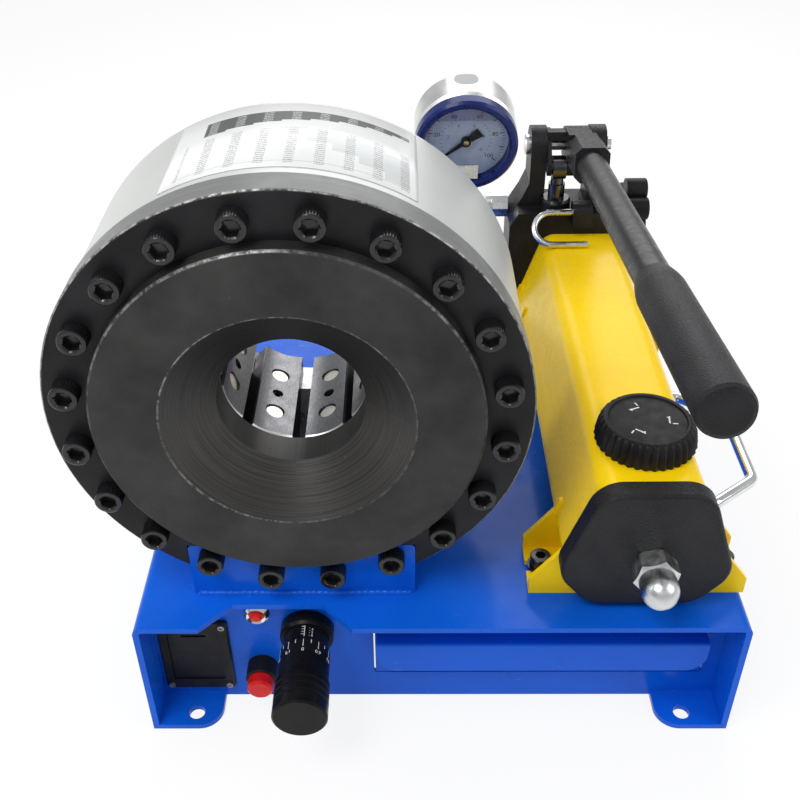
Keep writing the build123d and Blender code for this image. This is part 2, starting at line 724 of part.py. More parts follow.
# ---------------------------------------------------------------- hand pump
def tank_outline(margin=0.0):
    """Six-sided tank section, wide low down and narrow on top."""
    m = margin
    bottom = (PUMP_X + TANK_BOTTOM_HALF + m * 0.6, TANK_Z0 - m)
    wide = (PUMP_X + TANK_WIDE_HALF + m * 1.1, TANK_WIDE_Z)
    top = (PUMP_X + TANK_TOP_HALF + m * 0.7, TANK_TOP + m)
    flip = lambda p: (2 * PUMP_X - p[0], p[1])
    return outline([flip(bottom), bottom, wide, top, flip(top), flip(wide)])


def tank_solid(margin, radius, y0, y1):
    solid = prism_y(tank_outline(margin), y0, y1)
    return fillet(solid.edges().filter_by(Axis.Y), radius)


def pump_tank():
    tank = tank_solid(0, TANK_R, TANK_Y0, TANK_Y1)
    tank -= tank_solid(-TANK_WALL, TANK_R - TANK_WALL, TANK_Y0 - 1, TANK_Y1 - TANK_END_WALL)
    tank -= bar_y(ROD_X, ROD_Z, TANK_Y1 - TANK_END_WALL - 1, TANK_Y1 + 1, ROD_R)
    neck = bar_z(FILLER_X, FILLER_Y, TANK_TOP - 1, TANK_TOP + FILLER_NECK_H, FILLER_NECK_R)
    tank += neck
    tank -= bar_z(FILLER_X, FILLER_Y, TANK_TOP - 5, TANK_TOP + FILLER_NECK_H + 1, FILLER_NECK_R - 3)
    return tank


def front_cap():
    y1 = TANK_Y0 + CAP_LAP
    cap = tank_solid(CAP_MARGIN, CAP_R, y1 - CAP_T, y1)
    cap = fillet(cap.edges().group_by(Axis.Y)[0], 2.5)
    cap -= tank_solid(0, TANK_R, TANK_Y0, y1 + 1)
    cap -= bar_y(ROD_X, ROD_Z, y1 - CAP_T - 1, y1 + 1, ROD_R)
    return cap


def tie_rod():
    """Long rod that pulls the cap and the pump head against the tank."""
    return bar_y(ROD_X, ROD_Z, TANK_Y0 + CAP_LAP - CAP_T - NUT_HEX_H, TANK_Y1 + 12, ROD_R)


def acorn_nut():
    y_seat = TANK_Y0 + CAP_LAP - CAP_T
    corner_r = NUT_AF / sqrt(3)
    hexed = prism_y(Pos(ROD_X, ROD_Z) * Rot(0, 0, 15) * hexagon(NUT_AF), y_seat - NUT_HEX_H, y_seat)
    hexed &= turned_y(ROD_X, ROD_Z, [
        (0, y_seat), (corner_r - 1, y_seat), (corner_r, y_seat - 1),
        (corner_r, y_seat - NUT_HEX_H + 2), (NUT_DOME_R, y_seat - NUT_HEX_H), (0, y_seat - NUT_HEX_H),
    ])
    straight = NUT_LEN - NUT_DOME_R
    dome = bar_y(ROD_X, ROD_Z, y_seat - straight, y_seat - NUT_HEX_H, NUT_DOME_R)
    dome += Pos(ROD_X, y_seat - straight, ROD_Z) * Sphere(NUT_DOME_R)
    return hexed + dome - bar_y(ROD_X, ROD_Z, y_seat - NUT_HEX_H, y_seat + 1, ROD_R)


def foot_y(back):
    """Front edge of a pump foot."""
    return TANK_Y1 - FOOT_INSET - FOOT_D if back else TANK_Y0 + FOOT_INSET


def foot_screw_places():
    half = FOOT_W / 2 - FOOT_SCREW_END
    return [(PUMP_X + side * half, foot_y(back) + FOOT_D / 2) for back in (False, True) for side in (-1, 1)]


def pump_foot(back):
    """Channel foot: a slotted sole and two flanges that cradle the tank."""
    y0 = foot_y(back)
    y1 = y0 + FOOT_D
    half = FOOT_W / 2
    sole = block(PUMP_X - half, PUMP_X + half, y0, y1, BASE_H, BASE_H + FOOT_T)
    for side in (-1, 1):
        reach = half - FOOT_SLOT_LEN
        x0, x1 = sorted((PUMP_X + side * reach, PUMP_X + side * (half + 1)))
        mid = (y0 + y1) / 2
        sole -= block(x0, x1, mid - FOOT_SLOT_W / 2, mid + FOOT_SLOT_W / 2, BASE_H - 1, BASE_H + FOOT_T + 1)
        sole -= bar_z(PUMP_X + side * reach, mid, BASE_H - 1, BASE_H + FOOT_T + 1, FOOT_SLOT_W / 2)
    wing = TANK_WIDE_HALF - 3
    flange = outline([
        (PUMP_X - half, BASE_H), (PUMP_X - half, BASE_H + FOOT_EDGE_H), (PUMP_X - wing - 2.5, FOOT_WING_Z - 8),
        (PUMP_X - wing, FOOT_WING_Z), (PUMP_X + wing, FOOT_WING_Z), (PUMP_X + wing + 2.5, FOOT_WING_Z - 8),
        (PUMP_X + half, BASE_H + FOOT_EDGE_H), (PUMP_X + half, BASE_H),
    ])
    foot = sole + prism_y(flange, y0, y0 + FOOT_T) + prism_y(flange, y1 - FOOT_T, y1)
    return foot - tank_solid(0, TANK_R, TANK_Y0, TANK_Y1)


def foot_screws():
    """Four M8 socket screws with washers, tapped into the base's top plate."""
    pieces = []
    seat = BASE_H + FOOT_T + WASHER_T
    for x, y in foot_screw_places():
        head = bar_z(x, y, seat, seat + FOOT_SCREW_HEAD_H, FOOT_SCREW_HEAD_R)
        head = chamfer(head.edges().filter_by(GeomType.CIRCLE).group_by(Axis.Z)[-1], 0.6)
        head -= extrude(Pos(x, y, seat + FOOT_SCREW_HEAD_H / 2) * hexagon(6), FOOT_SCREW_HEAD_H)
        screw = head + bar_z(x, y, seat - FOOT_SCREW_LEN, seat, FOOT_SCREW_R)
        washer = bar_z(x, y, BASE_H + FOOT_T, seat, WASHER_R)
        pieces += [screw, washer - bar_z(x, y, BASE_H, seat + 1, FOOT_SCREW_R)]
    return group(pieces)


def ear_outline():
    """One ear seen from the side: straight shank with a round top."""
    shank = outline([
        (PIN_Y - EAR_R, HEAD_BLOCK_TOP - 10), (PIN_Y + EAR_R, HEAD_BLOCK_TOP - 10),
        (PIN_Y + EAR_R, PIN_Z), (PIN_Y - EAR_R, PIN_Z),
    ])
    return shank + Pos(PIN_Y, PIN_Z) * Circle(EAR_R)


def pump_head():
    """Cast head: block with flared shoulders, two ears, valve boss and hook lug."""
    x0, x1, top = HEAD_BLOCK_X0, HEAD_BLOCK_X1, HEAD_BLOCK_TOP
    left, right = EAR_X[0], EAR_X[1] + EAR_T
    section = outline([
        (x0 + 8, TANK_Z0 - 2), (x0, TANK_Z0 + 6), (x0, top - 11), (left - 5, top + 7), (left, EAR_WAIST_Z),
        (left + EAR_T, EAR_WAIST_Z), (left + EAR_T, top), (EAR_X[1], top), (EAR_X[1], EAR_WAIST_Z),
        (right, EAR_WAIST_Z), (right + 4, top + 7), (x1, top - 7), (x1, TANK_Z0 + 6), (x1 - 8, TANK_Z0 - 2),
    ])
    y0, y1 = TANK_Y1, PIN_Y + EAR_R
    head = prism_y(section, y0, y1)
    head -= block(left - 20, right + 20, y0 - 1, PIN_Y - EAR_R, top, EAR_WAIST_Z + 1)
    corners = head.edges().filter_by(Axis.Z).group_by(Axis.Y)[-1]
    head = fillet(corners, 4)
    for ear_x in EAR_X:
        head += prism_x(ear_outline(), ear_x, ear_x + EAR_T)
    lug = block(LUG_X0, LUG_X0 + LUG_W, y0 - 9, y0 + 8, top - 8, HOOK_ROOT_Z + 7)
    lug = fillet(lug.edges().filter_by(Axis.X).group_by(Axis.Z)[-1], 6)
    head += lug
    head += bar_x(PIN_Y, VALVE_Z, x1 - 2, x1 + 3, 11)
    head -= bar_x(PIN_Y, VALVE_Z, x1 - VALVE_STEM_DEPTH - 2, x1 + 4, VALVE_STEM_R + FIT)
    head -= bar_z(PLUNGER_X, PLUNGER_Y, top - PLUNGER_BORE_DEPTH, top + 1, PLUNGER_R + FIT)
    head -= bar_z(PLUNGER_X, PLUNGER_Y, top, top + GLAND_H + 1, GLAND_R + SLIDE_GAP)
    head -= bar_x(PIN_Y, PIN_Z, left - 1, right + 1, PIN_R)
    head -= bar_y(ROD_X, ROD_Z, y0 - 1, y0 + 12, ROD_R)
    head -= bar_x(hook_y(), HOOK_ROOT_Z, LUG_X0 - 1, HOOK_LEG_X + FIT, HOOK_ROD_R + FIT)
    return head


def plunger_gland():
    z0 = HEAD_BLOCK_TOP
    gland = bar_z(PLUNGER_X, PLUNGER_Y, z0, z0 + GLAND_H, GLAND_R)
    gland = chamfer(gland.edges().group_by(Axis.Z)[-1], 1.5)
    return gland - bar_z(PLUNGER_X, PLUNGER_Y, z0 - 1, z0 + GLAND_H + 1, PLUNGER_R + FIT)


def pump_plunger():
    """Plunger with a slotted eye, because its pin swings on an arc."""
    z = PLUNGER_PIN_Z
    shoulder = z - 5 - PLUNGER_NECK_LEN
    stem = bar_z(PLUNGER_X, PLUNGER_Y, HEAD_BLOCK_TOP - PLUNGER_DEPTH, shoulder, PLUNGER_R)
    stem += bar_z(PLUNGER_X, PLUNGER_Y, shoulder, z - 5, PLUNGER_NECK_R)
    wall = 3.4
    half = PLUNGER_PIN_R + 0.7
    swing = 2.4
    eye = Pos(PLUNGER_Y - 1.5, z) * SlotCenterToCenter(2 * swing, 2 * (half + wall))
    slot = Pos(PLUNGER_Y - 1.5, z) * SlotCenterToCenter(2 * swing, 2 * half)
    thick = CHEEK_GAP / 2 - SLIDE_GAP - 0.4
    plunger = stem + prism_x(eye, PLUNGER_X - thick, PLUNGER_X + thick)
    return plunger - prism_x(slot, PLUNGER_X - thick - 1, PLUNGER_X + thick + 1)


def lever_local(shape):
    """Put a piece drawn along -Y from the main pin into the lever's rest tilt."""
    return Pos(0, PIN_Y, PIN_Z) * Rot(-LEVER_TILT, 0, 0) * shape


def cheek(x0, x1):
    """Side plate of the lever's fork, from the main pin to the plunger's pin."""
    big, small = 13.0, 7.5
    face = Pos(PIN_Y, PIN_Z) * Circle(big) + Pos(PLUNGER_Y, PLUNGER_PIN_Z) * Circle(small)
    face += make_hull([*(Pos(PIN_Y, PIN_Z) * Circle(big)).edges(), *(Pos(PLUNGER_Y, PLUNGER_PIN_Z) * Circle(small)).edges()])
    return prism_x(face, x0, x1)


def lever_yoke():
    """Cast fork with the socket that holds the lever's tube."""
    gap0 = PLUNGER_X - CHEEK_GAP / 2
    gap1 = PLUNGER_X + CHEEK_GAP / 2
    inner0 = EAR_X[0] + EAR_T + SLIDE_GAP
    inner1 = EAR_X[1] - SLIDE_GAP
    yoke = cheek(inner0, gap0)
    yoke += cheek(gap1, inner1)
    yoke += bar_x(PIN_Y, PIN_Z, gap1, inner1, EAR_R - 1)
    arm = block(gap1, inner1, -SOCKET_START - 6, 0, -SOCKET_R, SOCKET_R)
    socket = block(gap1, LEVER_X + SOCKET_R, -SOCKET_END, -SOCKET_START, -SOCKET_R, SOCKET_R)
    socket = chamfer(socket.edges().filter_by(Axis.Y), 4.5)
    yoke += lever_local(arm + socket)
    yoke += lever_local(block(inner0, gap1 + 1, -12, 0, PIN_R + 0.5, SOCKET_R - 1))
    yoke -= lever_local(bar_y(LEVER_X, 0, -SOCKET_END - 1, -SOCKET_START - 8, LEVER_TUBE_R))
    yoke -= bar_x(PIN_Y, PIN_Z, inner0 - 1, inner1 + 1, PIN_R + FIT)
    yoke -= bar_x(PLUNGER_Y, PLUNGER_PIN_Z, inner0 - 1, gap1 + 8, PLUNGER_PIN_R)
    return yoke


def lever_tube():
    tube = bar_y(LEVER_X, 0, -LEVER_LEN + 3, -SOCKET_START - 8, LEVER_TUBE_R)
    tube -= bar_y(LEVER_X, 0, -LEVER_LEN + 2, -SOCKET_START - 7, LEVER_TUBE_R - LEVER_TUBE_WALL)
    return lever_local(tube)


def lever_grip():
    """Moulded grip: closed round end, full body and a tapered shoulder."""
    end = -LEVER_LEN
    start = end + GRIP_LEN
    r = GRIP_R
    grip = turned_y(LEVER_X, 0, [
        (0, end),
        (r - 3.2, end),
        (r - 1.0, end + 0.9),
        (r, end + 3.2),
        (r, start - 17),
        (r - 0.7, start - 10),
        (LEVER_TUBE_R + 1.0, start - 1),
        (LEVER_TUBE_R + 0.6, start),
        (LEVER_TUBE_R, start),
        (LEVER_TUBE_R, end + 3),
        (0, end + 3),
    ])
    return lever_local(grip)


def pivot_pin():
    """Main pin with its head on the left and a washer and clip on the right."""
    x0, x1 = EAR_X[0], EAR_X[1] + EAR_T
    pin = bar_x(PIN_Y, PIN_Z, x0, x1 + 5, PIN_R)
    head = bar_x(PIN_Y, PIN_Z, x0 - 4, x0, PIN_R + 3)
    head = chamfer(head.edges().group_by(Axis.X)[0], 1)
    return pin + head + bar_x(PIN_Y, PIN_Z, x1, x1 + 2, PIN_R + 3)


def plunger_pin():
    x0 = EAR_X[0] + EAR_T + SLIDE_GAP + 0.2
    return bar_x(PLUNGER_Y, PLUNGER_PIN_Z, x0, PLUNGER_X + CHEEK_GAP / 2 + 8, PLUNGER_PIN_R)


def hook_y():
    return TANK_Y1 - HOOK_ROD_R - 0.5


def lever_hook():
    """Bent rod that swings over the lowered lever: pivot leg, half turn, free leg."""
    y, z = hook_y(), HOOK_ROOT_Z
    free_y, free_z = y + HOOK_FREE_Y, TANK_TOP + HOOK_ROD_R + SLIDE_GAP
    turn_x = HOOK_X0 - sqrt(HOOK_FREE_Y ** 2 + (free_z - z) ** 2) / 2
    leg = Line((HOOK_LEG_X, y, z), (HOOK_X0, y, z))
    turn = ThreePointArc((HOOK_X0, y, z), (turn_x, (y + free_y) / 2, (z + free_z) / 2), (HOOK_X0, free_y, free_z))
    free = Line((HOOK_X0, free_y, free_z), (HOOK_LEG_X - 2, free_y, free_z))
    path = Wire([leg.edge(), turn.edge(), free.edge()])
    return sweep(Plane(path @ 0, z_dir=path % 0) * Circle(HOOK_ROD_R), path)


def release_stem():
    x1 = HEAD_BLOCK_X1
    return bar_x(PIN_Y, VALVE_Z, x1 - VALVE_STEM_DEPTH, x1 + VALVE_KNOB_GAP + 2, VALVE_STEM_R)


def release_knob():
    """Lobed knob that opens the return valve."""
    x0 = HEAD_BLOCK_X1 + VALVE_KNOB_GAP
    face = Circle(VALVE_KNOB_R * 0.62)
    lobes = 5
    for i in range(lobes):
        face += Rot(0, 0, 90 + 360 / lobes * i) * Pos(VALVE_KNOB_R * 0.62, 0) * Circle(VALVE_KNOB_R * 0.38)
    knob = prism_x(Pos(PIN_Y, VALVE_Z) * face, x0, x0 + VALVE_KNOB_T)
    knob = fillet(knob.edges().group_by(Axis.X)[-1], 1.5)
    knob += bar_x(PIN_Y, VALVE_Z, x0 - 3, x0, 9)
    return knob - bar_x(PIN_Y, VALVE_Z, x0 - 4, x0 + 2, VALVE_STEM_R)


def filler_knob():
    """Ribbed vent knob on the tank's filler neck."""
    z0 = TANK_TOP + SLIDE_GAP
    r, h = FILLER_R, FILLER_H
    knob = turned_z(FILLER_X, FILLER_Y, [
        (0, z0 + FILLER_NECK_H), (FILLER_NECK_R + SLIDE_GAP, z0 + FILLER_NECK_H), (FILLER_NECK_R + SLIDE_GAP, z0),
        (r - 1, z0), (r, z0 + 1.5), (r - 2.5, z0 + h - 3), (r - 4, z0 + h), (r - 6.5, z0 + h), (r - 7, z0 + h - 0.8),
        (0, z0 + h - 0.8),
    ])
    for i in range(FILLER_RIBS):
        groove = Pos(r - 0.6, 0, h / 2 + 4) * Rot(0, -10, 0) * Cylinder(1.5, h + 2)
        knob -= Pos(FILLER_X, FILLER_Y, z0) * Rot(0, 0, 360 / FILLER_RIBS * i) * groove
    stem_r = FILLER_NECK_R - 3 - SLIDE_GAP
    return knob + bar_z(FILLER_X, FILLER_Y, TANK_TOP - 4, z0 + FILLER_NECK_H + 0.5, stem_r)


# ---------------------------------------------------------------- front panel fittings
def battery_box():
    """Frame in front of the panel with an open pocket behind it."""
    y0 = PANEL_Y - BATTERY_FRAME_T
    frame = Pos(BATTERY_X, BATTERY_Z) * RectangleRounded(BATTERY_W, BATTERY_H, 2)
    box_ = prism_y(frame, y0, PANEL_Y)
    box_ = chamfer(box_.edges().group_by(Axis.Y)[0], 0.8)
    pocket = Pos(BATTERY_X, BATTERY_Z) * Rectangle(TRAY_W + 3.6, TRAY_H + 3.6)
    box_ += prism_y(pocket, PANEL_Y, PANEL_Y + BATTERY_DEPTH)
    room = Pos(BATTERY_X, BATTERY_Z) * Rectangle(TRAY_W, TRAY_H)
    return box_ - prism_y(room, y0 - 1, PANEL_Y + BATTERY_DEPTH - 1.8)


def battery_tray():
    """Tray that pulls out with the battery; its face has a finger ledge."""
    w, h = TRAY_W - 2 * SLIDE_GAP, TRAY_H - 2 * SLIDE_GAP
    y0 = PANEL_Y - BATTERY_FRAME_T + 1.2
    y1 = PANEL_Y + BATTERY_DEPTH - 3
    tray = prism_y(Pos(BATTERY_X, BATTERY_Z) * Rectangle(w, h), y0, y1)
    room = block(BATTERY_X - w / 2 + 2, BATTERY_X + w / 2 - 2, y0 + 2.5, y1 - 1.5, BATTERY_Z - h / 2 + 2, BATTERY_Z + h / 2 + 1)
    tray -= room
    ledge = block(BATTERY_X - 8, BATTERY_X + 8, y0 - 1, y0 + 1.2, BATTERY_Z + h / 2 - 5, BATTERY_Z + h / 2 - 3)
    return tray - ledge


def indicator_bezel():
    """Turned bezel with its barrel through the panel and a nut behind."""
    y = PANEL_Y
    bezel = turned_y(LED_X, LED_Z, [
        (4.6, y - 2.2), (6.2, y - 3.2), (LED_R - 0.6, y - 1.6), (LED_R, y - 0.6), (LED_R, y),
        (6, y), (6, y + 16), (0, y + 16), (0, y + 1), (4.6, y + 1),
    ])
    nut = prism_y(Pos(LED_X, LED_Z) * hexagon(15), y + PANEL_T, y + PANEL_T + 3)
    return bezel + (nut - bar_y(LED_X, LED_Z, y, y + 10, 5.9))


def indicator_lens():
    y = PANEL_Y
    return turned_y(LED_X, LED_Z, [(0, y - 5.2), (2.4, y - 4.8), (4, y - 3.4), (4.6, y - 1.5), (4.6, y + 1), (0, y + 1)])


def button_body():
    y = PANEL_Y
    r = BUTTON_R
    return turned_y(BUTTON_X, BUTTON_Z, [
        (BUTTON_CAP_R + 0.1, y - BUTTON_PROUD), (r - 1, y - BUTTON_PROUD), (r, y - BUTTON_PROUD + 1), (r, y),
        (BUTTON_NECK_R, y), (BUTTON_NECK_R, y + BUTTON_BEHIND), (0, y + BUTTON_BEHIND), (0, y - 4),
        (BUTTON_CAP_R + 0.1, y - 4),
    ])


def button_cap():
    y = PANEL_Y
    r = BUTTON_CAP_R
    return turned_y(BUTTON_X, BUTTON_Z, [
        (0, y - BUTTON_CAP_PROUD), (r - 1.4, y - BUTTON_CAP_PROUD), (r, y - BUTTON_CAP_PROUD + 1.4),
        (r, y - 4 - BUTTON_TRAVEL - 0.8), (0, y - 4 - BUTTON_TRAVEL - 0.8),
    ])


def micrometer_collar():
    """Fixed collar with its sleeve, and the shank through the panel."""
    y = PANEL_Y
    thimble_end = y - MIC_LEN + MIC_GRIP_LEN
    return turned_y(MIC_X, MIC_Z, [
        (MIC_SPINDLE_R + FIT, y + 12), (11, y + 12), (11, y), (MIC_COLLAR_R - 1, y), (MIC_COLLAR_R, y - 1),
        (MIC_COLLAR_R, y - MIC_COLLAR_LEN + 3), (MIC_COLLAR_R - 0.8, y - MIC_COLLAR_LEN + 2.5),
        (MIC_COLLAR_R, y - MIC_COLLAR_LEN + 2), (MIC_COLLAR_R - 1, y - MIC_COLLAR_LEN),
        (MIC_SLEEVE_R, y - MIC_COLLAR_LEN), (MIC_SLEEVE_R, thimble_end + 10), (MIC_SPINDLE_R + FIT, thimble_end + 10),
    ])


def micrometer_thimble():
    """Turning thimble with its grooved grip."""
    y = PANEL_Y
    start = y - MIC_COLLAR_LEN - MIC_THIMBLE_GAP
    grip0 = y - MIC_LEN + MIC_GRIP_LEN
    end = y - MIC_LEN
    points = [(MIC_SLEEVE_R + FIT, start), (MIC_THIMBLE_R - 0.9, start), (MIC_THIMBLE_R, start - 2.5)]
    points += [(MIC_THIMBLE_R, grip0 + 1), (MIC_GRIP_R, grip0)]
    pitch = 5.0
    for i in range(3):
        g = grip0 - 4 - pitch * i
        points += [(MIC_GRIP_R, g), (MIC_GRIP_R - 0.9, g - 0.7), (MIC_GRIP_R, g - 1.4)]
    points += [(MIC_GRIP_R, end + 1.2), (MIC_GRIP_R - 1.2, end), (0, end), (0, grip0 - 6)]
    points += [(MIC_SPINDLE_R + FIT, grip0 - 6), (MIC_SPINDLE_R + FIT, grip0), (MIC_SLEEVE_R + FIT, grip0)]
    return turned_y(MIC_X, MIC_Z, points)


def micrometer_spindle():
    grip0 = PANEL_Y - MIC_LEN + MIC_GRIP_LEN
    spindle = bar_y(MIC_X, MIC_Z, grip0 - 5.9, PANEL_Y + MIC_SPINDLE_BACK, MIC_SPINDLE_R)
    return chamfer(spindle.edges().group_by(Axis.Y)[-1], 1)


def drawer_front():
    """Front sheet of the drawer with its bent pull lip."""
    w = DRAWER_W - 2 * DRAWER_GAP
    y = PANEL_Y
    t = LIP_SHEET
    plate = block(DRAWER_X - w / 2, DRAWER_X + w / 2, y, y + t, DRAWER_Z0 + DRAWER_GAP, DRAWER_Z1 - DRAWER_GAP)
    plate += block(DRAWER_X - w / 2 + 1, DRAWER_X + w / 2 - 1, y - LIP_OUT, y, LIP_Z1 - t, LIP_Z1)
    lip = Pos(DRAWER_X, (LIP_Z0 + LIP_Z1) / 2) * Rectangle(w - 2, LIP_Z1 - LIP_Z0)
    lip = prism_y(lip, y - LIP_OUT, y - LIP_OUT + t)
    lip = fillet(lip.edges().filter_by(Axis.Y).group_by(Axis.Z)[0], LIP_CORNER_R)
    front = plate + lip
    bend = front.edges().filter_by(Axis.X).filter_by(lambda e: e.center().Z > LIP_Z1 - 0.1 and e.center().Y < y - LIP_OUT + 0.1)
    return fillet(bend, t * 0.9)


def drawer_tray():
    w = DRAWER_W - 2 * DRAWER_GAP - 6
    y0 = PANEL_Y + LIP_SHEET
    z0 = DRAWER_Z0 + DRAWER_GAP + 2
    t = DRAWER_SHEET
    tray = block(DRAWER_X - w / 2, DRAWER_X + w / 2, y0, y0 + DRAWER_DEPTH, z0, DRAWER_TRAY_TOP)
    return tray - block(DRAWER_X - w / 2 + t, DRAWER_X + w / 2 - t, y0 + t, y0 + DRAWER_DEPTH - t, z0 + t, DRAWER_TRAY_TOP + 1)


def drawer_rails():
    """Two angle rails hung from the top plate; the tray slides on their feet."""
    w = DRAWER_W - 2 * DRAWER_GAP - 6
    z_tray = DRAWER_Z0 + DRAWER_GAP + 2
    y0 = PANEL_Y + PANEL_T
    y1 = y0 + DRAWER_DEPTH
    rails = []
    for side in (-1, 1):
        inner = DRAWER_X + side * (w / 2 + SLIDE_GAP)
        outer = inner + side * 2
        foot = DRAWER_X + side * (w / 2 - 12)
        web = block(min(inner, outer), max(inner, outer), y0, y1, z_tray - SLIDE_GAP - 2, BASE_H - SHEET)
        sole = block(min(foot, outer), max(foot, outer), y0, y1, z_tray - SLIDE_GAP - 2, z_tray - SLIDE_GAP)
        rails.append(web + sole)
    return group(rails)


# ---------------------------------------------------------------- write every sub-part
PARTS = {
    "base_chassis": base_chassis,
    "front_panel": front_panel,
    "back_panel": back_panel,
    "carry_handle_right": lambda: carry_handle(1),
    "carry_handle_left": lambda: carry_handle(-1),
    "head_bracket": head_bracket,
    "front_ring_flange": front_ring_flange,
    "front_cone_disc": front_cone_disc,
    "cylinder_body": cylinder_body,
    "ring_piston": ring_piston,
    "piston_seal": piston_seal,
    "head_bolts": head_bolts,
    "pressure_block": pressure_block,
    "pressure_pipe": pressure_pipe,
    "pump_outlet_fitting": pump_outlet_fitting,
    "gauge_elbow": gauge_elbow,
    "gauge_case": gauge_case,
    "gauge_bezel": gauge_bezel,
    "gauge_dial": gauge_dial,
    "gauge_needle": gauge_needle,
    "gauge_lens": gauge_lens,
    "pump_tank": pump_tank,
    "front_cap": front_cap,
    "tie_rod": tie_rod,
    "acorn_nut": acorn_nut,
    "pump_foot_front": lambda: pump_foot(False),
    "pump_foot_back": lambda: pump_foot(True),
    "foot_screws": foot_screws,
    "pump_head": pump_head,
    "plunger_gland": plunger_gland,
    "pump_plunger": pump_plunger,
    "lever_yoke": lever_yoke,
    "lever_tube": lever_tube,
    "lever_grip": lever_grip,
    "pivot_pin": pivot_pin,
    "plunger_pin": plunger_pin,
    "lever_hook": lever_hook,
    "release_stem": release_stem,
    "release_knob": release_knob,
    "filler_knob": filler_knob,
    "battery_box": battery_box,
    "battery_tray": battery_tray,
    "indicator_bezel": indicator_bezel,
    "indicator_lens": indicator_lens,
    "button_body": button_body,
    "button_cap": button_cap,
    "micrometer_collar": micrometer_collar,
    "micrometer_thimble": micrometer_thimble,
    "micrometer_spindle": micrometer_spindle,
    "drawer_front": drawer_front,
    "drawer_tray": drawer_tray,
    "drawer_rails": drawer_rails,
}

for name, build in PARTS.items():
    save(build(), name)

for number in range(DIE_COUNT):
    shoe = die_shoe(number)
    save(shoe, f"die_shoe_{number + 1}")
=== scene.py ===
"""Finishes and small pieces of a hand-pumped hydraulic hose crimping machine.

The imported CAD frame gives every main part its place. This add-on gives those parts their
paints, castings and machined steels, and adds the screws, magnets, scales and label.
"""

import math
from random import Random

import bmesh
import bpy
from bpy.props import FloatProperty, FloatVectorProperty, IntProperty, PointerProperty
from mathutils import Matrix, Vector


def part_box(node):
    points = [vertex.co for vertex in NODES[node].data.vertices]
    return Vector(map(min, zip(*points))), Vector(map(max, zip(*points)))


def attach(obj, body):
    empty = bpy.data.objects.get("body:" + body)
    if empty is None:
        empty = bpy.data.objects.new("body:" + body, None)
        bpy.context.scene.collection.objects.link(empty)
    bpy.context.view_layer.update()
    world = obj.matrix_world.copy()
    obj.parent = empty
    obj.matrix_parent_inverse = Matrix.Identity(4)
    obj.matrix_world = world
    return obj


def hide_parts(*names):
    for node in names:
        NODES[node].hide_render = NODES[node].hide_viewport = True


bl_info = {
    "name": "Hose Crimper Finishes",
    "version": (1, 0, 0),
    "blender": (4, 5, 0),
    "location": "View3D > Sidebar > Crimper",
    "description": "Finishes and small pieces of a hand-pumped hose crimping machine",
    "category": "Object",
}

MM = 0.001
BODY = "machine_body"

# ------------------------------------------------------------------ sizes shared by pieces and finishes
FLANGE_RADIUS = 135 * MM
DRUM_RADIUS = 133.5 * MM
DISC_RIM_RADIUS = 113 * MM
DISC_FACE_RADIUS = 108 * MM
MOUTH_RADIUS = 70 * MM
DIE_INNER_RADIUS = 42 * MM
BOLT_COUNT = 20
BOLT_CIRCLE = 120.4 * MM
BOLT_HEAD_HEIGHT = 10 * MM
BOLT_SOCKET = 4.3 * MM        # half of the hexagon's width across flats
DIE_COUNT = 8
DIE_MAGNETS_AT = (22.5 * MM, 60 * MM)   # behind a die's front face
DIE_SCREW_AT = 40.5 * MM
DIE_POCKET_FLOOR = 47 * MM    # from the head's axis
LABEL_GAP_FRONT = 28 * MM     # label's edge behind the flange's face
LABEL_GAP_BACK = 6 * MM       # and before the drum's back
LABEL_LENGTH = 82 * MM
LABEL_LIFT = 0.12 * MM
GAUGE_LEAN = math.radians(10.7)
GAUGE_FIRST = math.radians(218)
GAUGE_SWEEP = math.radians(256)
GAUGE_TICKS = 50
SLEEVE_RADIUS = 14.6 * MM
THIMBLE_RADIUS = 15.8 * MM
INK = 0.08 * MM               # thickness of a printed mark

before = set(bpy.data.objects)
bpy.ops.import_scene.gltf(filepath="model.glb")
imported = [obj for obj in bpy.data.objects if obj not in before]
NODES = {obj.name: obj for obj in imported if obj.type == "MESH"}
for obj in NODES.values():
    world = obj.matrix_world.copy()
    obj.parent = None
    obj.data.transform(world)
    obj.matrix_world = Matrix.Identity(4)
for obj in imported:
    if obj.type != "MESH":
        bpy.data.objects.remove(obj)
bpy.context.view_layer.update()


# ------------------------------------------------------------------ places from the frame
def middle(node):
    low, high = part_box(node)
    return (low + high) / 2


RING_LOW, RING_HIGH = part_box("front_cone_disc")
HEAD_AXIS = Vector(((RING_LOW.x + RING_HIGH.x) / 2, 0, (RING_LOW.z + RING_HIGH.z) / 2))
RING_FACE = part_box("front_ring_flange")[0].y
HEAD_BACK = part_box("cylinder_body")[1].y


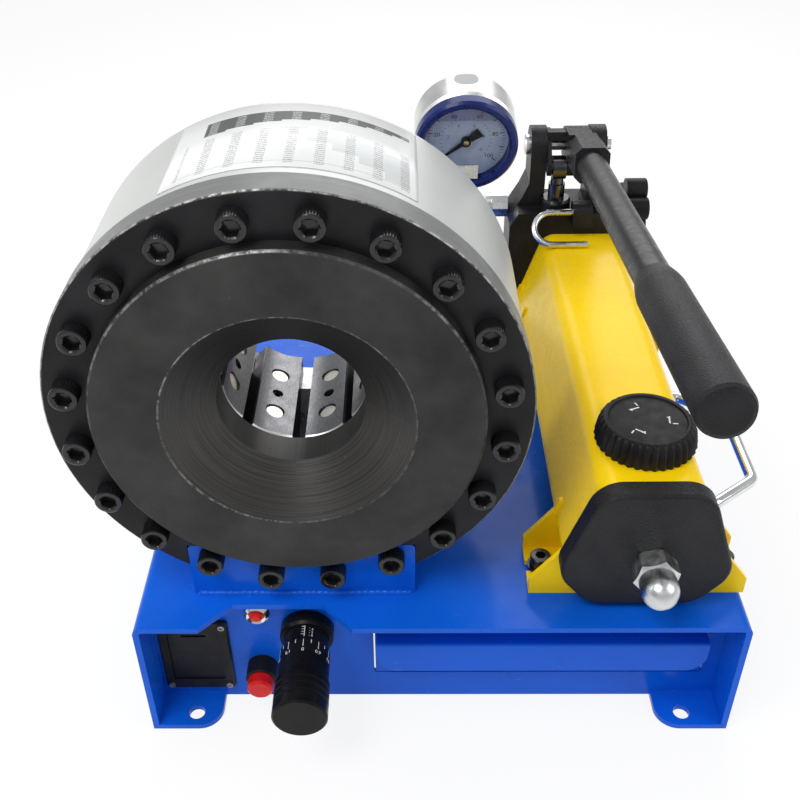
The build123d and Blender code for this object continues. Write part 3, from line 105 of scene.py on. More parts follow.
# ------------------------------------------------------------------ settings
class CrimperColours(bpy.types.PropertyGroup):
    """Colours of the machine's paints and castings."""

    base_blue: FloatVectorProperty(
        name="Base Blue", description="Gloss paint of the base, its panels and the drawer",
        subtype="COLOR", size=3, min=0, max=1, default=(0.003, 0.098, 0.60))
    pump_yellow: FloatVectorProperty(
        name="Pump Yellow", description="Gloss paint of the oil tank and its feet",
        subtype="COLOR", size=3, min=0, max=1, default=(0.98, 0.65, 0.004))
    body_silver: FloatVectorProperty(
        name="Body Silver", description="Lacquer of the head's cylinder",
        subtype="COLOR", size=3, min=0, max=1, default=(0.55, 0.56, 0.54))
    black: FloatVectorProperty(
        name="Black", description="Black paint, plastic and rubber",
        subtype="COLOR", size=3, min=0, max=1, default=(0.008, 0.008, 0.009))
    button_red: FloatVectorProperty(
        name="Button Red", description="Push button and lamp lens",
        subtype="COLOR", size=3, min=0, max=1, default=(0.62, 0.010, 0.008))
    dial_blue: FloatVectorProperty(
        name="Dial Blue", description="Ring round the gauge's glass",
        subtype="COLOR", size=3, min=0, max=1, default=(0.007, 0.016, 0.11))


class CrimperSizes(bpy.types.PropertyGroup):
    """Sizes of the small pieces."""

    bolt_head: FloatProperty(
        name="Bolt Head Radius", description="Radius of the head's cap screws",
        subtype="DISTANCE", unit="LENGTH", default=8 * MM, min=MM)
    bolt_ridges: IntProperty(
        name="Bolt Ridges", description="Ridges of the knurl round each cap screw",
        default=30, min=8, max=60)
    magnet_radius: FloatProperty(
        name="Magnet Radius", description="Radius of the magnets in the die shoes",
        subtype="DISTANCE", unit="LENGTH", default=5.7 * MM, min=MM)
    label_start: FloatProperty(
        name="Label Start", description="Angle from the top where the head's label begins",
        subtype="ANGLE", unit="ROTATION", default=math.radians(-27))
    label_end: FloatProperty(
        name="Label End", description="Angle from the top where the head's label ends",
        subtype="ANGLE", unit="ROTATION", default=math.radians(32))


# ------------------------------------------------------------------ materials
class Finish:
    """A node material being built: one shader and the patterns that feed it."""

    def __init__(self, name):
        self.material = bpy.data.materials.new(name)
        self.material.use_nodes = True
        self.tree = self.material.node_tree
        self.tree.nodes.clear()
        self.output = self.add("ShaderNodeOutputMaterial")
        self.shader = self.add("ShaderNodeBsdfPrincipled")
        self.link(self.shader.outputs[0], self.output.inputs["Surface"])
        self.place = self.add("ShaderNodeTexCoord").outputs["Object"]

    def add(self, kind, **settings):
        """A new node with its settings."""
        node = self.tree.nodes.new(kind)
        for key, value in settings.items():
            setattr(node, key, value)
        return node

    def link(self, source, target):
        self.tree.links.new(source, target)

    def feed(self, value, socket):
        """Link a socket, or set a constant."""
        if isinstance(value, bpy.types.NodeSocket):
            self.link(value, socket)
        else:
            socket.default_value = value

    def math(self, operation, a, b=0.0, clamp=False):
        node = self.add("ShaderNodeMath", operation=operation, use_clamp=clamp)
        self.feed(a, node.inputs[0])
        self.feed(b, node.inputs[1])
        return node.outputs[0]

    def axes(self, centre=(0, 0, 0)):
        """x, y and z measured from a point."""
        shift = self.add("ShaderNodeVectorMath", operation="SUBTRACT")
        self.link(self.place, shift.inputs[0])
        shift.inputs[1].default_value = centre
        split = self.add("ShaderNodeSeparateXYZ")
        self.link(shift.outputs[0], split.inputs[0])
        return split.outputs

    def polar(self, centre, axis="Y"):
        """Radius, angle and height about an axis through a point."""
        x, y, z = self.axes(centre)
        a, b, along = {"X": (y, z, x), "Y": (x, z, y), "Z": (x, y, z)}[axis]
        radius = self.math("SQRT", self.math("ADD", self.math("MULTIPLY", a, a), self.math("MULTIPLY", b, b)))
        return radius, self.math("ARCTAN2", a, b), along

    def join(self, x, y, z):
        """A vector from three numbers."""
        node = self.add("ShaderNodeCombineXYZ")
        for value, socket in zip((x, y, z), node.inputs):
            self.feed(value, socket)
        return node.outputs[0]

    def stretch(self, scale):
        """The part's coordinates, scaled differently along each axis."""
        node = self.add("ShaderNodeMapping")
        self.link(self.place, node.inputs["Vector"])
        node.inputs["Scale"].default_value = scale
        return node.outputs[0]

    def noise(self, scale, detail=3.0, roughness=0.5, at=None, distortion=0.0):
        node = self.add("ShaderNodeTexNoise")
        self.link(at or self.place, node.inputs["Vector"])
        node.inputs["Scale"].default_value = scale
        node.inputs["Detail"].default_value = detail
        node.inputs["Roughness"].default_value = roughness
        node.inputs["Distortion"].default_value = distortion
        return node.outputs["Fac"]

    def cells(self, scale):
        """Distance to the middle of the nearest of many small cells."""
        node = self.add("ShaderNodeTexVoronoi", feature="F1")
        self.link(self.place, node.inputs["Vector"])
        node.inputs["Scale"].default_value = scale
        return node.outputs["Distance"]

    def span(self, value, low, high, out_low=0.0, out_high=1.0, smooth=False):
        """Take low..high to out_low..out_high, held at both ends."""
        node = self.add("ShaderNodeMapRange", interpolation_type="SMOOTHSTEP" if smooth else "LINEAR")
        self.feed(value, node.inputs["Value"])
        for key, number in (("From Min", low), ("From Max", high), ("To Min", out_low), ("To Max", out_high)):
            node.inputs[key].default_value = number
        return node.outputs["Result"]

    def band(self, value, centre, half, soft):
        """1 inside centre +- half, fading over soft."""
        away = self.math("ABSOLUTE", self.math("SUBTRACT", value, centre))
        return self.span(away, half, half + soft, 1.0, 0.0, smooth=True)

    def mix(self, factor, a, b):
        node = self.add("ShaderNodeMix", data_type="RGBA")
        self.feed(factor, node.inputs["Factor"])
        for value, socket in ((a, node.inputs[6]), (b, node.inputs[7])):
            self.feed(value if isinstance(value, bpy.types.NodeSocket) else (*value[:3], 1.0), socket)
        return node.outputs[2]

    def blend(self, factor, a, b):
        node = self.add("ShaderNodeMix", data_type="FLOAT")
        self.feed(factor, node.inputs["Factor"])
        self.feed(a, node.inputs[2])
        self.feed(b, node.inputs[3])
        return node.outputs[0]

    def colour(self, value):
        socket = self.shader.inputs["Base Color"]
        self.feed(value if isinstance(value, bpy.types.NodeSocket) else (*value[:3], 1.0), socket)

    def rough(self, value):
        self.feed(value, self.shader.inputs["Roughness"])

    def metal(self, value):
        self.feed(value, self.shader.inputs["Metallic"])

    def bump(self, height, strength=0.3, distance=0.2 * MM):
        node = self.add("ShaderNodeBump")
        node.inputs["Strength"].default_value = strength
        node.inputs["Distance"].default_value = distance
        self.link(height, node.inputs["Height"])
        self.link(node.outputs[0], self.shader.inputs["Normal"])

    def shine(self, level):
        self.shader.inputs["Specular IOR Level"].default_value = level

    def coat(self, weight, roughness=0.05):
        self.shader.inputs["Coat Weight"].default_value = weight
        self.shader.inputs["Coat Roughness"].default_value = roughness


def shade(colour, factor):
    """A colour made lighter or darker."""
    return tuple(min(1.0, c * factor) for c in colour[:3])


def gloss_paint(name, colour, roughness=0.22, peel=0.05, mottle=0.12):
    """Sprayed gloss paint with orange peel, soft mottling and a few fine scuffs."""
    f = Finish(name)
    cloud = f.noise(14, 3)
    base = f.mix(f.span(cloud, 0.3, 0.7), shade(colour, 1 - mottle), shade(colour, 1 + mottle))
    scuff = f.noise(1.0, 2, at=f.stretch((60, 900, 700)), distortion=0.6)
    lines = f.math("MULTIPLY", f.span(scuff, 0.70, 0.74), f.span(f.noise(30, 2), 0.5, 0.65))
    f.colour(f.mix(f.math("MULTIPLY", lines, 0.35), base, shade([c + 0.25 for c in colour], 1)))
    f.rough(f.span(f.noise(70, 4), 0.3, 0.7, roughness - 0.05, roughness + 0.1))
    f.bump(f.math("ADD", f.noise(420, 2), f.math("MULTIPLY", f.noise(90, 2), 1.5)), peel, 0.4 * MM)
    f.shine(0.14)
    f.coat(0.06, 0.06)
    return f.material


def cast_black(name, colour, pebble=650.0, strength=0.5, roughness=0.5):
    """Black powder coat or rubber with a pebbled surface."""
    f = Finish(name)
    lumps = f.cells(pebble)
    cloud = f.noise(45, 4)
    f.colour(f.mix(f.span(cloud, 0.3, 0.7), shade(colour, 0.75), shade(colour, 1.6)))
    f.rough(f.span(lumps, 0.0, 0.7, roughness + 0.12, roughness - 0.08))
    f.bump(f.math("ADD", f.math("MULTIPLY", lumps, -1.0), f.noise(pebble * 2, 2)), strength, 0.35 * MM)
    f.shine(0.22)
    return f.material


def smooth_black(name, colour, roughness=0.35, fine=900.0, strength=0.12, shine=0.22):
    """Moulded plastic or black oxide: even, with a very fine skin."""
    f = Finish(name)
    f.colour(f.mix(f.span(f.noise(60, 4), 0.35, 0.65), shade(colour, 0.8), shade(colour, 1.5)))
    f.rough(f.span(f.noise(180, 3), 0.3, 0.7, roughness - 0.06, roughness + 0.1))
    f.bump(f.noise(fine, 2), strength, 0.1 * MM)
    f.shine(shine)
    return f.material


def bright_metal(name, colour=(0.78, 0.78, 0.77), roughness=0.18, grain=(1, 1, 1), strength=0.08):
    """Plated or polished steel with faint cloudy marks."""
    f = Finish(name)
    cloud = f.noise(80, 4)
    f.colour(f.mix(f.span(cloud, 0.3, 0.7), shade(colour, 0.86), shade(colour, 1.1)))
    f.metal(1.0)
    f.rough(f.span(f.noise(140, 4), 0.3, 0.7, roughness * 0.6, roughness * 1.5))
    f.bump(f.noise(700, 3, at=f.stretch(grain)), strength, 0.1 * MM)
    return f.material


def turned_rings(f, radius, angle, pitch=2200.0):
    """Height of fine turned grooves, a little uneven round the part."""
    at = f.join(f.math("MULTIPLY", radius, pitch), f.math("MULTIPLY", angle, 0.6), 0.0)
    return f.noise(1.0, 4, 0.7, at=at)


def turned_disc():
    """Blackened cone disc: turned grooves, and bright steel along its worn edges."""
    f = Finish("blackened_turned_steel")
    radius, angle, depth = f.polar(HEAD_AXIS)
    rings = turned_rings(f, radius, angle)
    cloud = f.noise(26, 5, 0.6)
    face = f.mix(f.span(cloud, 0.3, 0.7), (0.017, 0.0165, 0.016), (0.042, 0.041, 0.040))
    cone = f.mix(f.span(rings, 0.3, 0.7), (0.030, 0.029, 0.028), (0.085, 0.082, 0.078))
    in_cone = f.span(radius, MOUTH_RADIUS - 0.5 * MM, MOUTH_RADIUS + 0.5 * MM, 1.0, 0.0)
    surface = f.mix(in_cone, face, cone)
    rag = f.noise(260, 5, 0.65)
    front = f.span(depth, RING_LOW.y + 0.2 * MM, RING_LOW.y + 2.4 * MM, 1.0, 0.0)
    outer = f.math("MULTIPLY", f.band(radius, DISC_FACE_RADIUS - 0.6 * MM, 0.3 * MM, 0.6 * MM), front)
    inner = f.band(radius, MOUTH_RADIUS, 0.2 * MM, 0.6 * MM)
    rim = f.band(radius, DISC_RIM_RADIUS - 0.4 * MM, 0.2 * MM, 0.5 * MM)
    edge = f.math("ADD", f.math("ADD", outer, inner), f.math("MULTIPLY", rim, 0.6), clamp=True)
    patch = f.span(f.noise(11, 3), 0.42, 0.62, 0.25, 1.0)
    wear = f.math("MULTIPLY", f.math("MULTIPLY", edge, f.span(rag, 0.42, 0.60)), patch, clamp=True)
    specks = f.math("MULTIPLY", f.span(f.noise(900, 3), 0.70, 0.76), f.span(cloud, 0.45, 0.6))
    bright = f.math("ADD", wear, f.math("MULTIPLY", specks, 0.5), clamp=True)
    f.colour(f.mix(bright, surface, (0.27, 0.265, 0.25)))
    f.metal(f.blend(in_cone, f.math("MAXIMUM", f.math("MULTIPLY", bright, 0.6), 0.2), 0.75))
    f.rough(f.blend(bright, f.blend(in_cone, 0.46, 0.36), 0.30))
    f.bump(f.math("ADD", rings, f.math("MULTIPLY", f.noise(700, 3), 0.4)), 0.35, 0.12 * MM)
    f.shine(0.25)
    return f.material


def ring_paint(colour, band):
    """Flange: satin black face, grey lacquered rim, bright where the two meet."""
    f = Finish("ring_black_and_grey")
    radius, angle, depth = f.polar(HEAD_AXIS)
    cloud = f.noise(30, 4)
    face = f.mix(f.span(cloud, 0.3, 0.7), shade(colour, 0.8), shade(colour, 2.0))
    grain = f.noise(1.0, 3, at=f.join(f.math("MULTIPLY", depth, 900), f.math("MULTIPLY", angle, 2.0), 0.0))
    side = f.mix(f.span(grain, 0.3, 0.7), shade(band, 0.9), shade(band, 1.1))
    on_side = f.span(radius, FLANGE_RADIUS - 0.8 * MM, FLANGE_RADIUS - 0.1 * MM)
    rag = f.span(f.noise(200, 5, 0.65), 0.42, 0.58)
    corner = f.math("MULTIPLY", f.band(radius, FLANGE_RADIUS - 0.5 * MM, 0.15 * MM, 0.45 * MM), rag)
    front = f.span(depth, RING_FACE + 0.4 * MM, RING_FACE + 2.0 * MM, 1.0, 0.0)
    corner = f.math("MULTIPLY", corner, front)
    f.colour(f.mix(corner, f.mix(on_side, face, side), (0.40, 0.40, 0.38)))
    f.shine(0.2)
    f.metal(f.math("MULTIPLY", corner, 0.6))
    f.rough(f.span(f.noise(90, 4), 0.3, 0.7, 0.30, 0.46))
    f.bump(f.noise(500, 3), 0.15, 0.2 * MM)
    return f.material


def silver_lacquer(colour):
    """Drum: silver paint over turned steel, brushed round its axis."""
    f = Finish("silver_lacquer")
    _, angle, depth = f.polar(HEAD_AXIS)
    at = f.join(f.math("MULTIPLY", depth, 1500), f.math("MULTIPLY", angle, 1.2), 0.0)
    grain = f.noise(1.0, 4, 0.6, at=at)
    cloud = f.noise(9, 3)
    base = f.mix(f.span(grain, 0.3, 0.7), shade(colour, 0.93), shade(colour, 1.06))
    f.colour(f.mix(f.span(cloud, 0.35, 0.65), base, f.mix(0.5, base, shade(colour, 0.84))))
    f.metal(0.12)
    f.rough(f.span(grain, 0.3, 0.7, 0.32, 0.44))
    f.bump(grain, 0.10, 0.1 * MM)
    f.coat(0.1, 0.2)
    return f.material


def shoe_steel():
    """Die shoe: blackened sides and a ground inner face with a bright front chamfer."""
    f = Finish("die_shoe_steel")
    radius, angle, depth = f.polar(HEAD_AXIS)
    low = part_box("die_shoe_1")[0].y
    at = f.join(f.math("MULTIPLY", depth, 300), f.math("MULTIPLY", angle, 60), 0.0)
    grain = f.noise(1.0, 4, 0.6, at=at)
    ground = f.mix(f.span(grain, 0.3, 0.7), (0.15, 0.15, 0.16), (0.30, 0.30, 0.31))
    inside = f.span(radius, DIE_INNER_RADIUS + 1.0 * MM, DIE_INNER_RADIUS + 1.6 * MM, 1.0, 0.0)
    lip = f.span(depth, low + 1.2 * MM, low + 2.0 * MM, 1.0, 0.0)
    near = f.span(radius, DIE_INNER_RADIUS + 4 * MM, DIE_INNER_RADIUS + 5 * MM, 1.0, 0.0)
    lip = f.math("MULTIPLY", lip, near)
    f.colour(f.mix(lip, f.mix(inside, (0.012, 0.012, 0.013), ground), (0.75, 0.74, 0.70)))
    f.metal(f.math("MAXIMUM", f.math("MULTIPLY", inside, 0.8), lip))
    f.rough(f.span(f.noise(160, 4), 0.3, 0.7, 0.28, 0.45))
    f.bump(grain, 0.15, 0.1 * MM)
    return f.material


def gauge_steel():
    """Gauge case: brushed stainless steel with a round rubber plug on top."""
    f = Finish("stainless_and_plug")
    low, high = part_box("gauge_case")
    x, y, z = f.axes(((low.x + high.x) / 2, (low.y + high.y) / 2 - 1 * MM, high.z - 20 * MM))
    radius = f.math("SQRT", f.math("ADD", f.math("MULTIPLY", x, x), f.math("MULTIPLY", y, y)))
    on_top = f.math("GREATER_THAN", z, 0.0)
    plug = f.math("MULTIPLY", f.span(radius, 7.2 * MM, 7.6 * MM, 1.0, 0.0), on_top)
    seam = f.math("MULTIPLY", f.band(radius, 7.6 * MM, 0.15 * MM, 0.2 * MM), on_top)
    steel = f.mix(f.span(f.noise(80, 4), 0.3, 0.7), (0.74, 0.74, 0.72), (0.86, 0.86, 0.84))
    colour = f.mix(plug, steel, (0.36, 0.37, 0.37))
    f.colour(f.mix(f.math("MULTIPLY", seam, 0.6), colour, (0.16, 0.16, 0.16)))
    f.metal(f.blend(plug, 1.0, 0.0))
    f.rough(f.blend(plug, f.span(f.noise(140, 4), 0.3, 0.7, 0.26, 0.40), 0.55))
    f.bump(f.noise(600, 3, at=f.stretch((1, 6, 1))), 0.1, 0.1 * MM)
    return f.material


def label_paper():
    """Data sheet without words: white stock, a dark stepped header, grey steps and columns of ticks.

    u runs along the sheet from left to right and v from its front edge to its back, both 0 to 1.
    """
    f = Finish("blank_table_sheet")
    sizes = bpy.context.scene.crimper_sizes
    _, angle, depth = f.polar(HEAD_AXIS)
    first = RING_FACE + LABEL_GAP_FRONT
    u = f.span(angle, sizes.label_start, sizes.label_end)
    v = f.span(depth, first, first + LABEL_LENGTH)

    def times(value, factor):
        return f.math("MULTIPLY", value, factor)

    def both(*masks):
        result = masks[0]
        for mask in masks[1:]:
            result = times(result, mask)
        return result

    def above(value, low):
        return f.math("GREATER_THAN", value, low)

    def below(value, high):
        return f.math("LESS_THAN", value, high)

    def box(u0, u1, v0, v1):
        return both(above(u, u0), below(u, u1), above(v, v0), below(v, v1))

    columns, right = 9, 0.965
    column = times(u, columns)
    header_foot = f.math("ADD", times(f.math("FLOOR", column), 0.024), 0.64)
    header = both(above(u, 0.13), below(u, right), above(v, header_foot), below(v, 0.885))

    strokes = above(f.noise(1.0, 1, at=f.join(times(u, 260), times(v, 90), 0.0)), 0.47)
    off_middle = f.math("ABSOLUTE", f.math("SUBTRACT", f.math("FRACT", column), 0.5))
    lines = below(f.math("FRACT", times(v, 34)), 0.55)
    ticks = both(strokes, below(off_middle, 0.17), lines)

    steps_left = 0.445
    step = f.math("FLOOR", times(f.math("SUBTRACT", u, steps_left), 9.6))
    step_foot = f.math("SUBTRACT", 0.50, times(step, 0.10))
    step_top = f.math("SUBTRACT", 0.62, times(step, 0.032))
    steps = both(above(u, steps_left), below(u, right), above(v, step_foot), below(v, step_top))
    rows = both(ticks, box(0.06, right, 0.06, 0.60), below(v, f.math("ADD", step_top, 0.08)))
    rule = box(0.05, right, 0.085, 0.092)

    paper = f.mix(f.span(f.noise(40, 3), 0.3, 0.7), (0.70, 0.70, 0.695), (0.77, 0.77, 0.765))
    paper = f.mix(times(steps, 0.5), paper, (0.47, 0.49, 0.51))
    paper = f.mix(times(rule, 0.35), paper, (0.1, 0.1, 0.1))
    paper = f.mix(header, paper, (0.075, 0.08, 0.078))
    paper = f.mix(times(rows, 0.6), paper, (0.06, 0.06, 0.06))
    f.colour(f.mix(times(both(ticks, header), 0.8), paper, (0.7, 0.7, 0.7)))
    f.rough(0.32)
    f.bump(f.noise(60, 3), 0.08, 0.3 * MM)
    f.shine(0.3)
    return f.material


def dial_face():
    """Pale printed dial, with a painted shadow of the gauge's ring across its top and a darker painted line
    along that shadow's edge.
    """
    f = Finish("pale_dial")
    z = f.axes(middle("gauge_dial"))[2]
    # painted shadow of the gauge's ring over the dial's top, with a darker painted line along its lower edge
    bezel_shadow = f.span(z, 14.2 * MM, 14.8 * MM)
    line = f.band(z, 14.0 * MM, 0.35 * MM, 0.5 * MM)
    dial_tint = f.mix(f.span(f.noise(120, 3), 0.3, 0.7), (0.34, 0.39, 0.54), (0.42, 0.48, 0.62))
    # the dial's own tint, darkened where the painted shadow and its edge line fall
    face = f.mix(f.math("MULTIPLY", bezel_shadow, 0.75), dial_tint, (0.22, 0.22, 0.40))
    f.colour(f.mix(f.math("MULTIPLY", line, 0.5), face, (0.12, 0.12, 0.20)))
    f.rough(0.4)
    f.bump(f.noise(900, 2), 0.05, 0.05 * MM)
    return f.material


def clear_glass():
    """Gauge glass: thin and clear."""
    f = Finish("gauge_glass")
    f.colour((0.97, 0.98, 1.0))
    f.rough(f.span(f.noise(60, 3), 0.3, 0.7, 0.0, 0.03))
    f.shader.inputs["Transmission Weight"].default_value = 1.0
    f.shader.inputs["IOR"].default_value = 1.05
    return f.material


def plain_ink(name, colour, roughness=0.45):
    """Print or paint on a small mark, slightly worn."""
    f = Finish(name)
    f.colour(f.mix(f.span(f.noise(900, 3), 0.35, 0.6), shade(colour, 0.75), colour))
    f.rough(f.span(f.noise(300, 2), 0.3, 0.7, roughness - 0.05, roughness + 0.1))
    return f.material


def lens_plastic(name, colour):
    """Clear-coated red plastic."""
    f = Finish(name)
    f.colour(f.mix(f.span(f.noise(200, 3), 0.3, 0.7), shade(colour, 0.85), shade(colour, 1.2)))
    f.rough(f.span(f.noise(150, 2), 0.3, 0.7, 0.22, 0.34))
    f.bump(f.noise(800, 2), 0.04, 0.1 * MM)
    f.shine(0.2)
    f.coat(0.12, 0.05)
    return f.material


MATERIALS = {}


def make_materials():
    c = bpy.context.scene.crimper_colours
    black = tuple(c.black)
    MATERIALS.update(
        blue=gloss_paint("base_blue_gloss", tuple(c.base_blue), 0.20, 0.05, 0.10),
        yellow=gloss_paint("pump_yellow_gloss", tuple(c.pump_yellow), 0.24, 0.04, 0.04),
        ring=ring_paint(black, (0.17, 0.175, 0.17)),
        disc=turned_disc(),
        silver=silver_lacquer(tuple(c.body_silver)),
        shoe=shoe_steel(),
        casting=cast_black("black_casting", shade(black, 1.2), 520, 0.55, 0.42),
        cap=cast_black("pebbled_cap", shade(black, 1.3), 800, 0.65, 0.46),
        rubber=cast_black("grip_rubber", shade(black, 1.3), 1100, 0.55, 0.46),
        tube=smooth_black("tube_black", shade(black, 1.3), 0.3),
        oxide=smooth_black("black_oxide", shade(black, 0.8), 0.2, 1200, 0.3, 0.5),
        plastic=smooth_black("black_plastic", shade(black, 1.1), 0.4, shine=0.16),
        anodised=smooth_black("black_anodised", shade(black, 0.6), 0.3, 1500, 0.2, 0.14),
        chrome=bright_metal("polished_chrome", (0.80, 0.80, 0.80), 0.10),
        zinc=bright_metal("bright_zinc", (0.72, 0.73, 0.73), 0.24),
        turned=bright_metal("turned_steel", (0.50, 0.50, 0.50), 0.30, (1, 8, 1), 0.15),
        # painted shade: the pump plunger, a bright rod, drawn as dark steel for the shaded gap between the
        # yoke and the head
        dark_steel=bright_metal("shaded_plunger_steel", (0.10, 0.10, 0.105), 0.22),
        zinc_dull=bright_metal("dull_zinc", (0.30, 0.30, 0.30), 0.42),
        nickel=bright_metal("cast_nickel", (0.66, 0.67, 0.67), 0.33, strength=0.25),
        stainless=gauge_steel(),
        magnet=bright_metal("nickel_magnet", (0.80, 0.78, 0.70), 0.35),
        brass=bright_metal("dull_brass", (0.55, 0.42, 0.20), 0.3),
        gauge_ring=lens_plastic("gauge_ring_blue", tuple(c.dial_blue)),
        red=lens_plastic("button_red", tuple(c.button_red)),
        bezel=bright_metal("lamp_bezel", (0.86, 0.86, 0.85), 0.16),
        dial=dial_face(),
        glass=clear_glass(),
        label=label_paper(),
        ink_black=plain_ink("black_ink", (0.01, 0.01, 0.012)),
        ink_blue=plain_ink("blue_ink", (0.03, 0.16, 0.35)),
        ink_white=plain_ink("white_ink", (0.75, 0.75, 0.73)),
        sticker=plain_ink("blank_sticker", (0.75, 0.74, 0.70), 0.4),
    )


def dress(material, *nodes):
    """Give CAD nodes a finish."""
    for name in nodes:
        slots = NODES[name].data.materials
        slots.clear()
        slots.append(MATERIALS[material])


# ------------------------------------------------------------------ mesh helpers
def new_piece(name, bm, material, body):
    """Turn a bmesh into a named piece that rides on a body."""
    bmesh.ops.remove_doubles(bm, verts=bm.verts, dist=1e-7)
    bmesh.ops.recalc_face_normals(bm, faces=bm.faces)
    mesh = bpy.data.meshes.new(name)
    bm.to_mesh(mesh)
    bm.free()
    piece = bpy.data.objects.new(name, mesh)
    bpy.context.scene.collection.objects.link(piece)
    mesh.materials.append(MATERIALS[material])
    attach(piece, body)
    return piece


def smooth(piece, angle=35):
    """Smooth shading that keeps corners sharper than an angle."""
    mesh = piece.data
    mesh.polygons.foreach_set("use_smooth", [True] * len(mesh.polygons))
    mesh.set_sharp_from_angle(angle=math.radians(angle))
    return piece


def revolve(bm, profile, steps=48, matrix=None):
    """Spin (radius, height) points about Z in a new bmesh; ends that meet the axis close."""
    verts = [bm.verts.new((r, 0, h)) for r, h in profile]
    edges = [bm.edges.new(pair) for pair in zip(verts, verts[1:])]
    bmesh.ops.spin(
        bm, geom=verts + edges, cent=(0, 0, 0), axis=(0, 0, 1), dvec=(0, 0, 0),
        angle=math.tau, steps=steps, use_merge=True, use_duplicate=False)
    bmesh.ops.remove_doubles(bm, verts=bm.verts, dist=1e-7)
    if matrix:
        bmesh.ops.transform(bm, matrix=matrix, verts=bm.verts)


def ease(piece, width):
    """Round a piece's edges a little."""
    bevel = piece.modifiers.new("eased_edges", "BEVEL")
    bevel.width = width
    bevel.segments = 2


def facing_front(x, y, z):
    """Local Z points out of the machine's front, towards -Y."""
    return Matrix.Translation((x, y, z)) @ Matrix.Rotation(math.radians(90), 4, "X")


def ring(bm, steps, radius, height):
    """A circle of vertices at a height; radius may depend on the angle."""
    verts = bmesh.ops.create_circle(bm, segments=steps, radius=1.0)["verts"]
    for vert in verts:
        size = radius(math.atan2(vert.co.y, vert.co.x)) if callable(radius) else radius
        vert.co = (vert.co.x * size, vert.co.y * size, height)
    return verts


def loft(bm, rings, close=True):
    """Skin through rings of equal count; the last one is filled."""
    def edges(verts):
        own = set(verts)
        return list({e for v in verts for e in v.link_edges if e.other_vert(v) in own})

    for lower, upper in zip(rings, rings[1:]):
        bmesh.ops.bridge_loops(bm, edges=edges(lower) + edges(upper))
    if close:
        bmesh.ops.edgeloop_fill(bm, edges=edges(rings[-1]))
    return [vert for verts in rings for vert in verts]


def hexagon(radius):
    """Radius of a hexagon's side at an angle, by its inner circle's radius."""
    return lambda angle: radius / math.cos(angle % (math.pi / 3) - math.pi / 6)


def fluted(radius, count, depth):
    """Radius of a rim with count rounded ribs."""
    return lambda angle: radius - depth * (0.5 - 0.5 * math.cos(count * angle))


def cap_screw(bm, matrix, head_r, head_h, ridges, socket_r):
    """Head of a knurled cap screw with a hexagon socket; local Z points out."""
    steps = ridges * 4
    edge = head_r * 0.1
    knurl = fluted(head_r, ridges, head_r * 0.05)
    rings = [
        ring(bm, steps, knurl, 0),
        ring(bm, steps, knurl, head_h - edge * 1.6),
        ring(bm, steps, head_r - edge * 0.4, head_h - edge * 0.5),
        ring(bm, steps, head_r - edge * 1.1, head_h),
        ring(bm, steps, socket_r * 1.25, head_h),
        ring(bm, steps, hexagon(socket_r), head_h - edge * 0.9),
        ring(bm, steps, hexagon(socket_r), head_h * 0.5),
    ]
    bmesh.ops.transform(bm, matrix=matrix, verts=loft(bm, rings))


def wrap(bm, radius):
    """Bend a flat drawing, its Z up, onto a drum of a radius about Y."""
    for vert in bm.verts:
        turn = vert.co.x / radius
        reach = radius + vert.co.z
        vert.co.x, vert.co.z = reach * math.sin(turn), reach * math.cos(turn)


def text_mesh(words, size, depth=0.0):
    """A bmesh of flat digits, centred on the origin."""
    curve = bpy.data.curves.new("digits", "FONT")
    curve.body = words
    curve.size = size
    curve.align_x = "CENTER"
    curve.align_y = "CENTER"
    curve.extrude = depth
    curve.resolution_u = 3
    holder = bpy.data.objects.new("digits", curve)
    bpy.context.scene.collection.objects.link(holder)
    bpy.context.view_layer.update()
    mesh = bpy.data.meshes.new_from_object(holder.evaluated_get(bpy.context.evaluated_depsgraph_get()))
    bm = bmesh.new()
    bm.from_mesh(mesh)
    bpy.data.objects.remove(holder)
    bpy.data.curves.remove(curve)
    bpy.data.meshes.remove(mesh)
    return bm


def merge(target, source, matrix):
    """Add one bmesh to another at a place."""
    bmesh.ops.transform(source, matrix=matrix, verts=source.verts)
    mesh = bpy.data.meshes.new("part")
    source.to_mesh(mesh)
    source.free()
    target.from_mesh(mesh)
    bpy.data.meshes.remove(mesh)


def bar(bm, width, height, depth, matrix):
    """A thin bar, such as a printed line."""
    cube = bmesh.ops.create_cube(bm, size=1.0)["verts"]
    bmesh.ops.scale(bm, vec=(width, height, depth), verts=cube)
    bmesh.ops.transform(bm, matrix=matrix, verts=cube)


# ------------------------------------------------------------------ operators
class PieceOperator:
    """Shared settings of every operator here."""

    bl_options = {"REGISTER", "UNDO"}

    def execute(self, context):
        self.build(context.scene.crimper_sizes)
        return {"FINISHED"}


